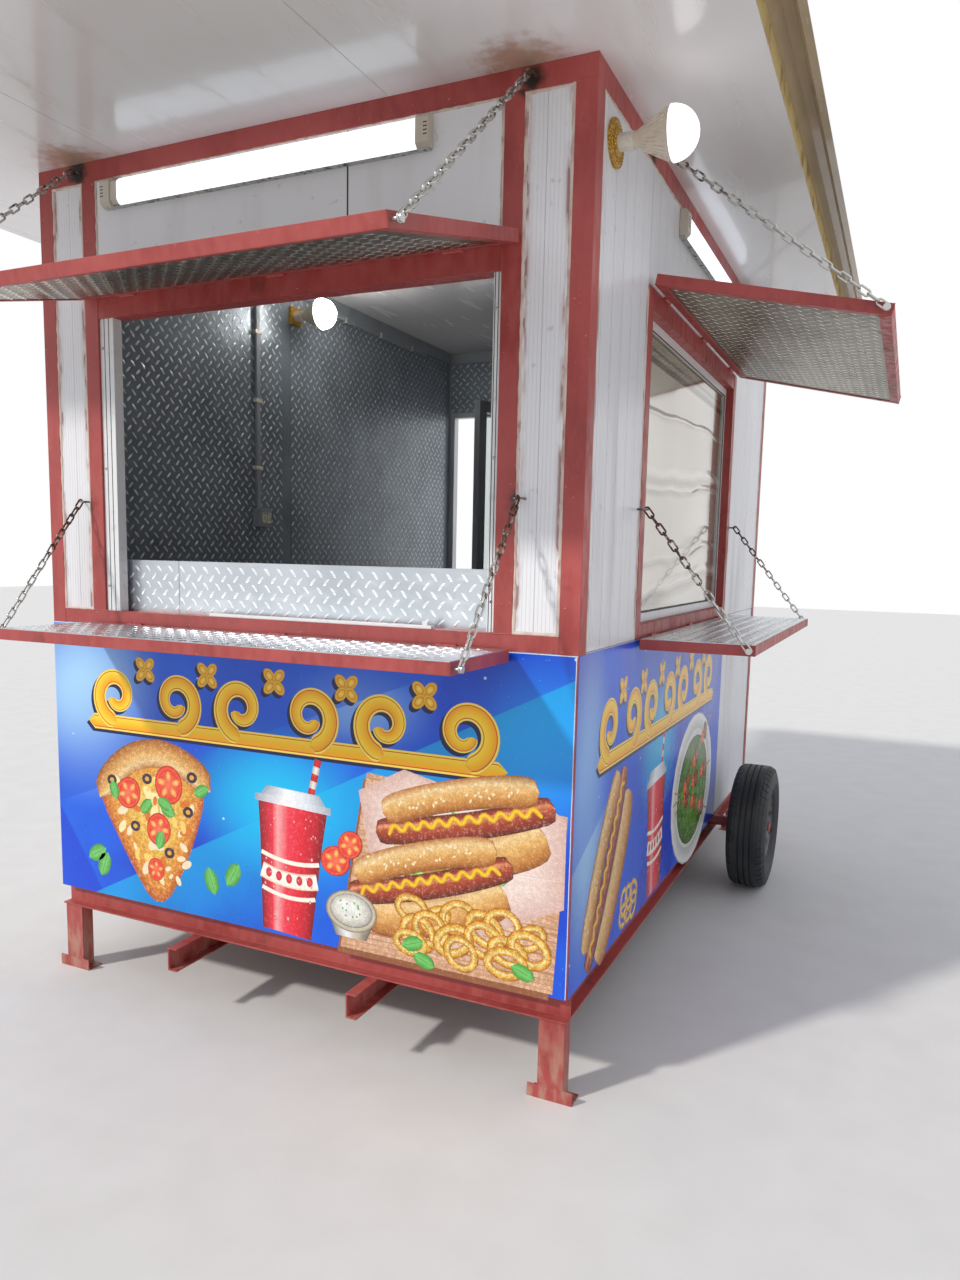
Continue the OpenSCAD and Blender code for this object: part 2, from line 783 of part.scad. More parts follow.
module bulb_bases() {
    color("gold") place() {
        translate([half_w - panel_face, outside_bulb_y, bulb_z]) rotate([0, 90, 0]) {
            rose();
            translate([0, 0, rose_t]) cylinder(h = holder_len, d = holder_d, $fn = curve_steps);
        }
        translate([-half_w + panel_back + plate_t, inside_bulb_y, bulb_z]) rotate([0, 90, 0]) {
            translate([-plate_side / 2, -plate_side / 2, 0]) cube([plate_side, plate_side, rose_t]);
            translate([0, 0, rose_t]) cylinder(h = holder_len, d = holder_d, $fn = curve_steps);
        }
    }
}

// Pressed rose along z: a rim, a groove and a raised middle
module rose() {
    r = rose_d / 2;
    rim = 9;
    groove = 7;
    rotate_extrude($fn = curve_steps)
        polygon([[0, 0], [r, 0], [r, rose_t / 2], [r - rim, rose_t * 0.8], [r - rim - groove, rose_t / 2],
            [holder_d / 2 + groove, rose_t], [0, rose_t]]);
}

module bulbs() {
    color("white") place() {
        translate([half_w - panel_face + rose_t + holder_len, outside_bulb_y, bulb_z]) rotate([0, 90, 0]) bulb();
        translate([-half_w + panel_back + plate_t + rose_t + holder_len, inside_bulb_y, bulb_z])
            rotate([0, 90, 0]) bulb();
    }
}

// Lamp bulb along z: a tapered body and a round dome
module bulb() {
    body_len = 95;
    rim_t = 8;
    rim_step = 6;
    neck_r = 20;
    neck_len = 12;
    dome_r = bulb_d / 2;
    rotate_extrude($fn = curve_steps) {
        polygon([[0, 0], [neck_r, 0], [neck_r + 4, neck_len], [dome_r - rim_step, body_len],
            [dome_r, body_len + rim_t], [0, body_len + rim_t]]);
        translate([0, body_len + rim_t]) intersection() {
            circle(r = dome_r, $fn = curve_steps);
            square(dome_r);
        }
    }
}

// Electrical conduit, switch box and trunking on the left inner wall
module conduit() {
    wall_x = -half_w + panel_back + plate_t;
    run_y = 1080;
    box_y = 1062;
    box_w = 80;
    box_z = 1440;
    box_h = 85;
    rise_w = 25;
    rise_t = 16;
    trunk_h = 25;
    trunk_start = 1600;
    trunk_len = 1100;
    box_t = 45;
    color("lightgray") place() {
        block([wall_x, run_y, box_z + box_h], [wall_x + rise_t, run_y + rise_w, wall_top]);
        block([wall_x, box_y, box_z], [wall_x + box_t, box_y + box_w, box_z + box_h]);
        translate([wall_x, trunk_start, wall_top - trunk_h]) cube([rise_t, trunk_len, trunk_h]);
    }
}

// Aluminium frame in the rear doorway, with the fixed parts of the door hinges
module door_frame() {
    y0 = body_d - panel_back;
    head_low = door_head_z - door_frame_w;
    color(aluminium) place() {
        block([door_left, y0, base_h], [door_left + door_frame_w, body_d, head_low - weld_gap]);
        block([door_right - door_frame_w, y0, base_h], [door_right, body_d, head_low - weld_gap]);
        block([door_left, y0, head_low], [door_right, body_d, door_head_z]);
        for (z = door_hinge_z()) translate([door_axis_x, door_axis_y, z]) door_barrels(y0 - door_axis_y);
    }
}

function door_hinge_z() = [leaf_bottom + 200, leaf_top - 200];

// Two barrels on one pin, with tabs that reach the door frame
module door_barrels(reach) {
    half = hinge_half + weld_gap + hinge_side;
    cylinder(h = 2 * half, d = pin_d, center = true, $fn = small_steps);
    for (s = [-1, 1]) {
        mid = s * (hinge_half + weld_gap + hinge_side / 2);
        translate([0, 0, mid]) cylinder(h = hinge_side, d = barrel_d, center = true, $fn = small_steps);
        block([door_gap / 2, 0, mid - hinge_side / 2], [door_gap / 2 + angle_t, reach, mid + hinge_side / 2]);
    }
}

// Barrel of a moving part along x, bored for its pin
module moving_barrel() {
    rotate([0, 90, 0]) difference() {
        cylinder(h = 2 * hinge_half, d = barrel_d, center = true, $fn = small_steps);
        cylinder(h = 4 * hinge_half, d = pin_d + 2 * seat_gap, center = true, $fn = small_steps);
    }
}

// Welded frame of angle steel around a flap, mitred at its corners, with its hinge barrels.
// The flange of the angle is at the bottom, and the flap reaches from flap_back to len.
module flap_frame(len) {
    half = hatch_w / 2;
    difference() {
        block([-half, -len, 0], [half, -flap_back, flap_t]);
        block([-half + angle_t, -len + angle_t, angle_t], [half - angle_t, -flap_back - angle_t, flap_t + 1]);
        block([-half + flap_t, -len + flap_t, -1], [half - flap_t, -flap_back - flap_t, angle_t + 1]);
    }
    for (i = [-1 : 1]) translate([i * hinge_spread, 0, 0]) difference() {
        union() {
            moving_barrel();
            block([-hinge_half, -flap_back - 0.5, 0], [hinge_half, -pin_d / 2 - 1, barrel_r]);
        }
        rotate([0, 90, 0]) cylinder(h = 4 * hinge_half, d = pin_d + 2 * seat_gap, center = true, $fn = small_steps);
    }
}

// Chequer plate of a flap, lying on the flange inside the upright legs
module flap_plate(len) {
    half = hatch_w / 2 - angle_t - weld_gap;
    block([-half, -len + angle_t + weld_gap, angle_t],
        [half, -flap_back - angle_t - weld_gap, angle_t + plate_t]);
}

module front_awning_frame() {
    color(red_oxide) front_flap(front_head_z - awning_axis, front_drop) flap_frame(awning_len);
}

module front_awning_plate() {
    color(aluminium) front_flap(front_head_z - awning_axis, front_drop) flap_plate(awning_len);
}

module side_awning_frame() {
    color(red_oxide) side_flap(side_head_z - awning_axis, side_drop) flap_frame(awning_len);
}

module side_awning_plate() {
    color(aluminium) side_flap(side_head_z - awning_axis, side_drop) flap_plate(awning_len);
}

module front_counter_frame() {
    color(red_oxide) front_flap(counter_z, 0) mirror([0, 0, 1]) flap_frame(counter_len);
}

module front_counter_plate() {
    color(aluminium) front_flap(counter_z, 0) counter_plate();
}

module side_counter_frame() {
    color(red_oxide) side_flap(counter_z, 0) mirror([0, 0, 1]) flap_frame(counter_len);
}

module side_counter_plate() {
    color(aluminium) side_flap(counter_z, 0) counter_plate();
}

// Chequer plate that covers the top of a counter
module counter_plate() {
    half = hatch_w / 2 - angle_t;
    block([-half, -counter_len + angle_t, 0], [half, -flap_back - angle_t, plate_t]);
}

// Tyre about z, centred on its width
module tyre() {
    r = tyre_d / 2;
    rim_r = rim_d / 2;
    half = tyre_w / 2;
    groove = 7;
    depth = 8;
    rotate_extrude($fn = curve_steps * 2) difference() {
        polygon([[rim_r + seat_gap, -half + 26], [rim_r + 12, -half + 12], [rim_r + 45, -half],
            [r - 45, -half + 2], [r - 16, -half + 14], [r - 4, -half + 30], [r, -half + 45],
            [r, half - 45], [r - 4, half - 30], [r - 16, half - 14], [r - 45, half - 2],
            [rim_r + 45, half], [rim_r + 12, half - 12], [rim_r + seat_gap, half - 26],
            [rim_r + 30, half - 26], [r - 22, half - 34], [r - 22, -half + 34], [rim_r + 30, -half + 26]]);
        for (i = [-1 : 1]) translate([r - depth, i * 26 - groove / 2]) square([2 * depth, groove]);
    }
}

// Pressed steel wheel about z, centred on the width of its tyre
module rim() {
    r = rim_d / 2;
    half = tyre_w / 2 - 20;
    t = 4;
    hub_low = -tyre_w / 2 + 20;
    difference() {
        rotate_extrude($fn = curve_steps * 2) {
            polygon([[r, -half], [r, -half + 8], [r - 22, -half + 30], [r - 22, half - 30], [r, half - 8], [r, half],
                [r - t, half], [r - t, half - 6], [r - 22 - t, half - 28], [r - 22 - t, -half + 28],
                [r - t, -half + 6], [r - t, -half]]);
            polygon([[spindle_d / 2 + seat_gap, 10], [70, 10], [95, 24], [r - 22 - t, 14], [r - 22 - t, 20],
                [95, 30], [66, 16], [spindle_d / 2 + seat_gap, 16]]);
            translate([spindle_d / 2 + seat_gap, hub_low]) square([hub_d / 2 - spindle_d / 2, hub_len]);
        }
        for (a = [0 : 45 : 315]) rotate([0, 0, a]) translate([112, 0, -half])
            cylinder(h = tyre_w, d = 24, $fn = small_steps);
    }
}

// Wheel place: side is 1 on the right and -1 on the left
module at_wheel(side) {
    place() translate([side * (half_w + tyre_gap + tyre_w / 2), axle_y, axle_z]) rotate([0, side * 90, 0]) children();
}

module tyre_left() {
    color([0.12, 0.12, 0.12]) at_wheel(-1) tyre();
}

module tyre_right() {
    color([0.12, 0.12, 0.12]) at_wheel(1) tyre();
}

module rim_left() {
    color(zinc) at_wheel(-1) rim();
}

module rim_right() {
    color(zinc) at_wheel(1) rim();
}

// Frame of the rear door about its hinge: closed along -x, and turned open into the cabin
module at_door() {
    place() translate([door_axis_x, door_axis_y, 0]) rotate([0, 0, door_open]) children();
}

module rear_door_leaf() {
    color(aluminium) at_door() {
        difference() {
            block([-leaf_w - door_gap / 2, leaf_set, leaf_bottom], [-door_gap / 2, leaf_set + leaf_t, leaf_top]);
            block([-leaf_w - door_gap / 2 + stile_w, leaf_set - 1, leaf_mid_z + stile_w],
                [-door_gap / 2 - stile_w, leaf_set + leaf_t + 1, leaf_top - stile_w]);
        }
        for (z = door_hinge_z()) translate([0, 0, z]) {
            rotate([0, 90, 0]) moving_barrel();
            block([-barrel_r, pin_d / 2, -hinge_half], [-door_gap / 2, leaf_set + 1, hinge_half]);
        }
        translate([-leaf_w - door_gap / 2 + stile_w / 2, leaf_set, leaf_mid_z]) {
            scale([1, -1, 1]) lever();
            translate([0, leaf_t, 0]) lever();
        }
    }
}

// Lever handle on its plate, standing out of the leaf along y and pointing away from the lock edge
module lever() {
    plate = [34, 4, 180];
    stem_d = 18;
    reach = 42;
    bar = [115, 12, 16];
    translate([-plate[0] / 2, -0.5, -plate[2] / 2]) cube([plate[0], plate[1] + 0.5, plate[2]]);
    translate([0, -0.5, 0]) rotate([-90, 0, 0]) cylinder(h = reach, d = stem_d, $fn = small_steps);
    translate([-stem_d / 2, reach - bar[1], -bar[2] / 2]) cube(bar);
}

module rear_door_glass() {
    edge = door_gap / 2 + stile_w;
    color("lightsteelblue") at_door() block(
        [-leaf_w - door_gap / 2 + stile_w, leaf_set + leaf_t / 2 - glass_t / 2, leaf_mid_z + stile_w],
        [-edge, leaf_set + leaf_t / 2 + glass_t / 2, leaf_top - stile_w]);
}

base_frame();
chassis();
legs();
floor_deck();
corner_posts();
top_beams();
front_hatch_frame();
side_hatch_frame();
front_wall();
right_wall();
left_wall();
rear_wall();
inner_lining();
roof_foam();
roof_sheets();
front_vinyl();
side_vinyl();
window_rails();
side_window_sash();
side_window_glass();
counter_upstand();
chain_hooks();
tube_lamps();
bulb_bases();
bulbs();
conduit();
door_frame();
front_awning_frame();
front_awning_plate();
front_counter_frame();
front_counter_plate();
side_awning_frame();
side_awning_plate();
side_counter_frame();
side_counter_plate();
front_awning_chains();
front_counter_chains();
side_awning_chains();
side_counter_chains();
tyre_left();
rim_left();
tyre_right();
rim_right();
rear_door_leaf();
rear_door_glass();
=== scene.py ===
# %% [markdown]
# A street kiosk of welded steel, white sandwich panels and chequer plate stands under a wide ribbed roof.
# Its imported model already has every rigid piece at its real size. This lesson gives those pieces their
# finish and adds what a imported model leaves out: the raised lugs of the plate, the printed picture,
# sealant beads, welds, screws and lamp fins. The model comes in first and is never moved.

# %% Load the fixed frame
import json
import math
import random

import bpy
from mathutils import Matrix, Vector


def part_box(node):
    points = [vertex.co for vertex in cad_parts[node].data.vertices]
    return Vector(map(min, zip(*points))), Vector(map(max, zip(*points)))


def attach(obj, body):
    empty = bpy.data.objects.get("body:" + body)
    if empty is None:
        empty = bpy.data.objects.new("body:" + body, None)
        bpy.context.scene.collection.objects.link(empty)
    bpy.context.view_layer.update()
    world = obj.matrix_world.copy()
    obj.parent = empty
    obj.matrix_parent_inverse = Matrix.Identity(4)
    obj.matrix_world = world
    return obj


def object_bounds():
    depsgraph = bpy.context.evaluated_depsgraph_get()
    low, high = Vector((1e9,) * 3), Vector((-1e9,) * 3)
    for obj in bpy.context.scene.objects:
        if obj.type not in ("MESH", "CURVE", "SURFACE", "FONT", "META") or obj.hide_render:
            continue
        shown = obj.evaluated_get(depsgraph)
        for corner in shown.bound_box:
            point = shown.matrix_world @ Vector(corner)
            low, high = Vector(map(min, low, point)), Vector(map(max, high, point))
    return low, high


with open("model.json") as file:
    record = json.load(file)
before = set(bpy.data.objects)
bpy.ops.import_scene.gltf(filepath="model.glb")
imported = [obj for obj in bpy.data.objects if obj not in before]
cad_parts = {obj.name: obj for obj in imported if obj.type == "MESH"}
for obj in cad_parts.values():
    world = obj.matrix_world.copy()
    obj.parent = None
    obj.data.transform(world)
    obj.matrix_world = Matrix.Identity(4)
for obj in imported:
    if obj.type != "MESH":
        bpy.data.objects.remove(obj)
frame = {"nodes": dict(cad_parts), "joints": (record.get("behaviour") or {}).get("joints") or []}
cad_low, cad_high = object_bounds()
nodes = frame["nodes"]
print("kiosk size in metres", [round(side, 3) for side in cad_high - cad_low])

# %% [markdown]
# Everything later is placed from a few landmarks of the cabin: the middle of its front, its right wall and
# the underside of its base frame. Working in the cabin's own directions keeps each number a size that
# could be measured on the real kiosk with a tape.

# %% Landmarks of the cabin
posts_low, posts_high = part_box("corner_posts")
base_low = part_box("base_frame")[0]
RIGHT, REAR, FRONT, UP = (Vector(way) for way in ((1, 0, 0), (0, 1, 0), (0, -1, 0), (0, 0, 1)))
HALF_WIDTH = (posts_high.x - posts_low.x) / 2
DEPTH = posts_high.y - posts_low.y
MIDDLE = (posts_low.x + posts_high.x) / 2
POST = 0.060
FLOOR_TOP, RAIL_FOOT, RAIL_TOP = 0.100, 1.065, 1.112
HEAD_FRONT, HEAD_SIDE, WALL_TOP, ROOF_LINE = 2.162, 2.185, 2.538, 2.6
HATCH_HALF = 0.800
JAMB = 0.057
OPENING = HATCH_HALF - JAMB
SIDE_HATCH = (0.570, 2.170)
DOOR_RIGHT = -0.240
PANEL_SET, LINING_SET, PROFILE_SET = 0.003, 0.055, 0.008
INNER_POST = HALF_WIDTH - POST


def cabin(x, y, z):
    """A point from the middle of the cabin's front, at the underside of its base frame."""
    return Vector((MIDDLE + x, posts_low.y + y, base_low.z + z))


def on_front(along, height, out=0.0):
    """A point on the front's steel face: metres right of the middle, up, and out of the face."""
    return cabin(along, -out, height)


def on_side(along, height, out=0.0):
    """A point on the right steel face: metres behind the front, up, and out of the face."""
    return cabin(HALF_WIDTH + out, along, height)


HOOK_HALF = HATCH_HALF + 0.019
HOOK_HEIGHTS = (2.570, 1.487)
HOOK_WALLS = ((on_front, 0), (on_side, sum(SIDE_HATCH) / 2))
HOOKS = [wall(middle + flip * HOOK_HALF, height)
         for wall, middle in HOOK_WALLS for flip in (-1, 1) for height in HOOK_HEIGHTS]
print("cabin is", round(2 * HALF_WIDTH, 3), "wide and", round(DEPTH, 3), "deep")

# %% [markdown]
# The picture was taken by someone standing near the front right corner with a wide lens, head height,
# looking slightly down. A camera is set by where it stands, where it looks, and its lens. It could be
# aimed with a tracking constraint, but three angles say directly what a photographer did: turn, tip, roll.

# %% Camera
STAND = Vector((HALF_WIDTH + 0.802, -2.388, 1.329))
TURN, TIP, ROLL = math.radians(24.95), math.radians(-7.01), math.radians(1.19)
SENSOR, LENS = 36.0, 26.0
SHIFT = (0.0034, 0.023)

forward = Vector((-math.sin(TURN) * math.cos(TIP), math.cos(TURN) * math.cos(TIP), math.sin(TIP)))
flat_right = Vector((math.cos(TURN), math.sin(TURN), 0.0))
flat_up = flat_right.cross(forward)
right = math.cos(ROLL) * flat_right + math.sin(ROLL) * flat_up
up = -math.sin(ROLL) * flat_right + math.cos(ROLL) * flat_up

camera = bpy.data.objects.new("camera", bpy.data.cameras.new("camera"))
bpy.context.scene.collection.objects.link(camera)
basis = camera.matrix_world.to_3x3()
for row in range(3):
    basis[row] = (right[row], up[row], -forward[row])
camera.matrix_world = basis.to_4x4()
camera.location = cabin(*STAND)
camera.data.sensor_width = SENSOR
camera.data.lens = LENS
camera.data.shift_x, camera.data.shift_y = SHIFT
bpy.context.scene.camera = camera
print("camera stands at", [round(value, 3) for value in camera.location])

# %% [markdown]
# Colours are easier to choose as the 0 to 255 values that a screen shows, but shaders work with light, so
# one helper turns the first into the second. Two classes build node materials: values that can be added
# and multiplied like numbers, and a finish whose colour is mixed first and then washed over, as paint is.

# %% Colour and material helpers


def ink(red, green, blue):
    """Screen colour, 0 to 255, as the linear colour that a shader mixes."""
    shares = (value / 255.0 for value in (red, green, blue))
    return tuple(s / 12.92 if s <= 0.04045 else ((s + 0.055) / 1.055) ** 2.4 for s in shares) + (1.0,)


def feed(tree, socket, value):
    """Links a value to a socket, or sets a plain number or colour on it."""
    if isinstance(value, Value):
        tree.links.new(value.socket, socket)
    else:
        socket.default_value = value


class Value:
    """What one output of a node gives. Adding or multiplying values adds the nodes for it."""

    def __init__(self, tree, socket):
        self.tree, self.socket = tree, socket

    def math(self, operation, second=0.0, first=None):
        made = self.tree.nodes.new("ShaderNodeMath")
        made.operation = operation
        feed(self.tree, made.inputs[0], self if first is None else first)
        feed(self.tree, made.inputs[1], second)
        return Value(self.tree, made.outputs[0])

    def __add__(self, other):
        return self.math("ADD", other)

    def __sub__(self, other):
        return self.math("SUBTRACT", other)

    def __rsub__(self, other):
        return self.math("SUBTRACT", self, other)

    def __mul__(self, other):
        return self.math("MULTIPLY", other)

    def __truediv__(self, other):
        return self.math("DIVIDE", other)

    def __abs__(self):
        return self.math("ABSOLUTE")

    def above(self, limit):
        return self.math("GREATER_THAN", limit)

    def below(self, limit):
        return self.math("LESS_THAN", limit)

    def most(self, other):
        return self.math("MAXIMUM", other)

    def step(self, low, high, low_out=0.0, high_out=1.0):
        """Smooth step from low to high."""
        made = self.tree.nodes.new("ShaderNodeMapRange")
        made.interpolation_type = "SMOOTHSTEP"
        for socket, value in zip(made.inputs, (self, low, high, low_out, high_out)):
            feed(self.tree, socket, value)
        return Value(self.tree, made.outputs[0])

    def between(self, low_out, high_out):
        """Turns a share into a number between two others."""
        return self.step(0.0, 1.0, low_out, high_out)


class Finish:
    """A material being mixed: one shader, and helpers that add the nodes in front of it."""

    def __init__(self, name, roughness, metallic=0.0):
        self.material = bpy.data.materials.new(name)
        self.material.use_nodes = True
        self.tree = self.material.node_tree
        self.shader = self.tree.nodes["Principled BSDF"]
        self.set(Roughness=roughness, Metallic=metallic)
        self.place = self.node("ShaderNodeTexCoord", "Object")
        self.x, self.y, self.z = self.split(self.place)

    def node(self, kind, output, **values):
        """A new node with some of its inputs fed, as the value of one output."""
        made = self.tree.nodes.new(kind)
        for name, value in values.items():
            feed(self.tree, made.inputs[name.replace("_", " ")], value)
        return Value(self.tree, made.outputs[output])

    def split(self, vector):
        parts = self.node("ShaderNodeSeparateXYZ", 0, Vector=vector).socket.node
        return [Value(self.tree, socket) for socket in parts.outputs]

    def set(self, **values):
        for name, value in values.items():
            feed(self.tree, self.shader.inputs[name.replace("_", " ")], value)

    def blend(self, share, low, high):
        made = self.tree.nodes.new("ShaderNodeMix")
        made.data_type = "RGBA"
        for place, value in zip((0, 6, 7), (share, low, high)):
            feed(self.tree, made.inputs[place], value)
        return Value(self.tree, made.outputs[2])

    def tone(self, share, low, high):
        """Starts the colour as a mix of two screen colours."""
        self.colour = self.blend(share, ink(*low), ink(*high))
        self.set(Base_Color=self.colour)

    def wash(self, share, *colour):
        """Lays a screen colour, or a colour value, over what is there."""
        over = ink(*colour) if len(colour) == 3 else colour[0]
        self.colour = self.blend(share, self.colour, over)
        self.set(Base_Color=self.colour)

    def noise(self, scale, detail=3.0, stretch=(1.0, 1.0, 1.0)):
        stretched = self.node("ShaderNodeMapping", 0, Vector=self.place, Scale=stretch)
        return self.node("ShaderNodeTexNoise", "Fac", Vector=stretched, Scale=scale, Detail=detail)

    def cells(self, scale):
        return self.node("ShaderNodeTexVoronoi", "Distance", Vector=self.place, Scale=scale)

    def near(self, point, inner, outer, ragged):
        """1 close to a point and 0 away from it, with a ragged rim."""
        offset = self.node("ShaderNodeMapping", 0, Vector=self.place, Location=-point)
        length = self.tree.nodes.new("ShaderNodeVectorMath")
        length.operation = "LENGTH"
        feed(self.tree, length.inputs[0], offset)
        reach = Value(self.tree, length.outputs["Value"])
        return (reach + (self.noise(26.0, 4.0) - 0.5) * ragged).step(outer, inner)

    def bump(self, height, distance):
        """Bump on top of any bump that was added before."""
        made = self.node("ShaderNodeBump", "Normal", Height=height, Distance=distance, Strength=1.0)
        before = self.shader.inputs["Normal"].links
        if before:
            self.tree.links.new(before[0].from_socket, made.socket.node.inputs["Normal"])
        self.set(Normal=made)


def dress(finish, *names):
    """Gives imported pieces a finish. Only their material changes."""
    for name in names:
        mesh = nodes[name].data
        mesh.materials.clear()
        mesh.materials.append(finish.material)


# %% [markdown]
# The steel was brushed with red oxide primer. Brushed primer is never one red: it is darker where it is
# thick, chalky where it is thin, and it has chips and rust at handled edges. Layers of noise at three
# scales give that, and a fine stretched noise gives the brush marks a little relief.

# %% Red oxide steel
SPLASH_HEIGHT = 0.30


def red_oxide():
    paint = Finish("red_oxide_steel", 0.5)
    fine = paint.noise(38.0, 5.0, (1.0, 1.0, 0.35)).step(0.35, 0.7)
    chips = paint.noise(90.0, 6.0).step(0.69, 0.74)
    paint.tone(paint.noise(3.0, 4.0).step(0.3, 0.7), (148, 54, 50), (174, 74, 70))
    paint.wash(fine * 0.35, 186, 96, 90)
    paint.wash(chips * 0.5, 206, 160, 146)
    paint.wash(paint.noise(9.0, 6.0).step(0.62, 0.74) * 0.5, 104, 44, 34)
    for hook in HOOKS:
        paint.wash(paint.near(hook, 0.018, 0.052, 0.07), 42, 30, 26)
    paint.wash(paint.z.step(cad_low.z + SPLASH_HEIGHT, cad_low.z) * fine, 176, 140, 118)
    paint.set(Roughness=fine.between(0.38, 0.62))
    paint.bump(paint.noise(160.0, 4.0, (1.0, 1.0, 0.2)), 0.0006)
    paint.bump(chips, 0.0004)
    return paint


steel = red_oxide()
RED_NODES = ("base_frame", "chassis", "legs", "corner_posts", "top_beams", "front_hatch_frame",
             "side_hatch_frame", "front_awning_frame", "front_counter_frame", "side_awning_frame",
             "side_counter_frame")
dress(steel, *RED_NODES)
print(len(RED_NODES), "pieces wear red oxide")

# %% [markdown]
# The wall panels are thin coated sheet with fine upright ribs. The ribs are too fine to model for every
# square metre, so a saw of the distance along the wall becomes a bump, and a grey line of painted shade
# in each fine groove. Dust washes down such a wall in streaks: noise that is stretched upright shows as
# runs of dirt. Primer was smeared along each member.

# %% White panels
FINE_RIB, WIDE_RIB = 0.006, 0.048


def along_wall(finish, side):
    """Metres behind the front on a side wall, or right of the middle on the front and rear."""
    return finish.y - posts_low.y if side else finish.x - MIDDLE


def ribbed_sheet(name, side, ribs, edges, plain_to=0.0):
    """ribs is how strongly the fine ribs show, as bump and as painted groove shade; edges are the members
    along the wall with their tops.
    """
    sheet = Finish(name, 0.36)
    along = along_wall(sheet, side)
    groove = along.math("PINGPONG", FINE_RIB).step(0.0, 0.0016)
    wide = along.math("PINGPONG", WIDE_RIB).step(0.0, 0.002)
    shown = (1.0 - abs(along).below(plain_to)) * ribs
    streak = sheet.noise(9.0, 4.0, (1.0, 1.0, 0.12)).step(0.45, 0.8)
    smear = sheet.noise(34.0, 5.0, (1.0, 1.0, 0.25)).step(0.40, 0.62)
    sheet.tone(sheet.noise(2.2), (238, 238, 239), (225, 223, 224))
    sheet.wash(streak * 0.3, 196, 182, 182)
    sheet.wash(sheet.noise(26.0, 5.0).step(0.66, 0.74) * 0.35, 186, 156, 156)
    for place, top in edges:
        apart = abs(along - place) + (sheet.z - cabin(0, 0, top).z).most(0.0)
        sheet.wash(apart.step(0.030, 0.012) * smear * 0.75, 186, 150, 146)
        sheet.wash(apart.step(0.020, 0.014) * smear.step(0.75, 1.0) * 0.6, 120, 64, 60)
    # Painted shade: a grey line in each fine groove stands in for the shade of the rib relief.
    sheet.wash((1.0 - groove) * shown, 150, 148, 150)
    sheet.set(Roughness=streak.between(0.28, 0.5))
    for ridge in (groove, wide):
        sheet.bump(ridge * shown, 0.004)
    return sheet


front_edges = [(x, WALL_TOP) for x in (-INNER_POST, -HATCH_HALF, HATCH_HALF, INNER_POST)]
rear_edges = [(x, WALL_TOP) for x in (-INNER_POST, DOOR_RIGHT, INNER_POST)]
left_edges = [(POST, WALL_TOP), (DEPTH - POST, WALL_TOP)]
right_edges = left_edges + [(y, HEAD_SIDE) for y in SIDE_HATCH]
dress(ribbed_sheet("front_sheet", False, 0.16, front_edges, OPENING), "front_wall")
dress(ribbed_sheet("rear_sheet", False, 0.26, rear_edges), "rear_wall")
dress(ribbed_sheet("right_sheet", True, 0.26, right_edges), "right_wall")
dress(ribbed_sheet("left_sheet", True, 0.26, left_edges), "left_wall")

# %% [markdown]
# The roof's skins are the same coated sheet without fine ribs. Its underside mirrors softly and has rust
# stains over the chain hooks. The free rib on the right edge is bare on its underside and has gone tan.
# Where the sheet faces down beyond the foam's edge is easy to find with the normal and a coordinate.

# %% Roof skins and foam
foam_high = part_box("roof_foam")[1]


def roof_skin():
    skin = Finish("roof_skin", 0.24)
    dust = skin.noise(14.0, 5.0, (1.0, 0.15, 1.0)).step(0.5, 0.8)
    skin.tone(skin.noise(1.6, 4.0), (243, 242, 243), (230, 226, 225))
    skin.wash(dust * 0.25, 186, 176, 160)
    downward = skin.split(skin.node("ShaderNodeNewGeometry", "Normal"))[2].step(-0.2, -0.4)
    lip = downward * skin.x.step(foam_high.x - 0.001, foam_high.x + 0.001)
    tan = skin.blend(skin.noise(11.0, 5.0, (1.0, 0.3, 1.0)), ink(150, 130, 106), ink(200, 182, 152))
    skin.wash(lip, tan)
    for hook_x in (-HATCH_HALF, HATCH_HALF):
        stain = skin.near(cabin(hook_x, -0.02, ROOF_LINE), 0.04, 0.16, 0.16) * downward
        skin.wash(stain * 0.7, 176, 118, 62)
    skin.set(Roughness=dust.between(0.2, 0.45), Coat_Weight=0.3)
    skin.bump(skin.noise(3.0, 2.0), 0.004)
    return skin


def cut_foam():
    foam = Finish("cut_foam", 0.85)
    pores = foam.cells(210.0)
    foam.tone(foam.noise(13.0, 5.0).step(0.45, 0.7), (204, 180, 118), (150, 118, 72))
    foam.wash(pores.step(0.25, 0.05), 120, 88, 44)
    foam.bump(pores, 0.002)
    foam.bump(foam.noise(40.0, 4.0), 0.004)
    return foam


dress(roof_skin(), "roof_sheets")
dress(cut_foam(), "roof_foam")

# %% [markdown]
# Chequer plate is rolled aluminium. Outside it is bright and a little scuffed. Inside the cabin the lining
# is darker, which is painted shade, and the awning plates are darker from weathering and from painted
# shade between the lugs. All are the same recipe with another colour and roughness. The lugs themselves
# are real metal standing up from the sheet, so they are modelled further down. Their metal is a lighter
# copy of the plate's, which is a painted highlight.

# %% Chequer plate metal


def plate_metal(name, bright, dull, rough, metallic=1.0):
    metal = Finish(name, rough, metallic)
    metal.tone(metal.noise(4.0, 4.0).step(0.35, 0.7) * 0.6, bright, dull)
    scuff = metal.noise(55.0, 5.0, (0.25, 1.0, 1.0)).step(0.5, 0.75)
    metal.set(Roughness=scuff.between(rough, rough + 0.16))
    metal.bump(metal.noise(7.0, 2.0), 0.0025)
    metal.bump(metal.noise(300.0), 0.00015)
    return metal
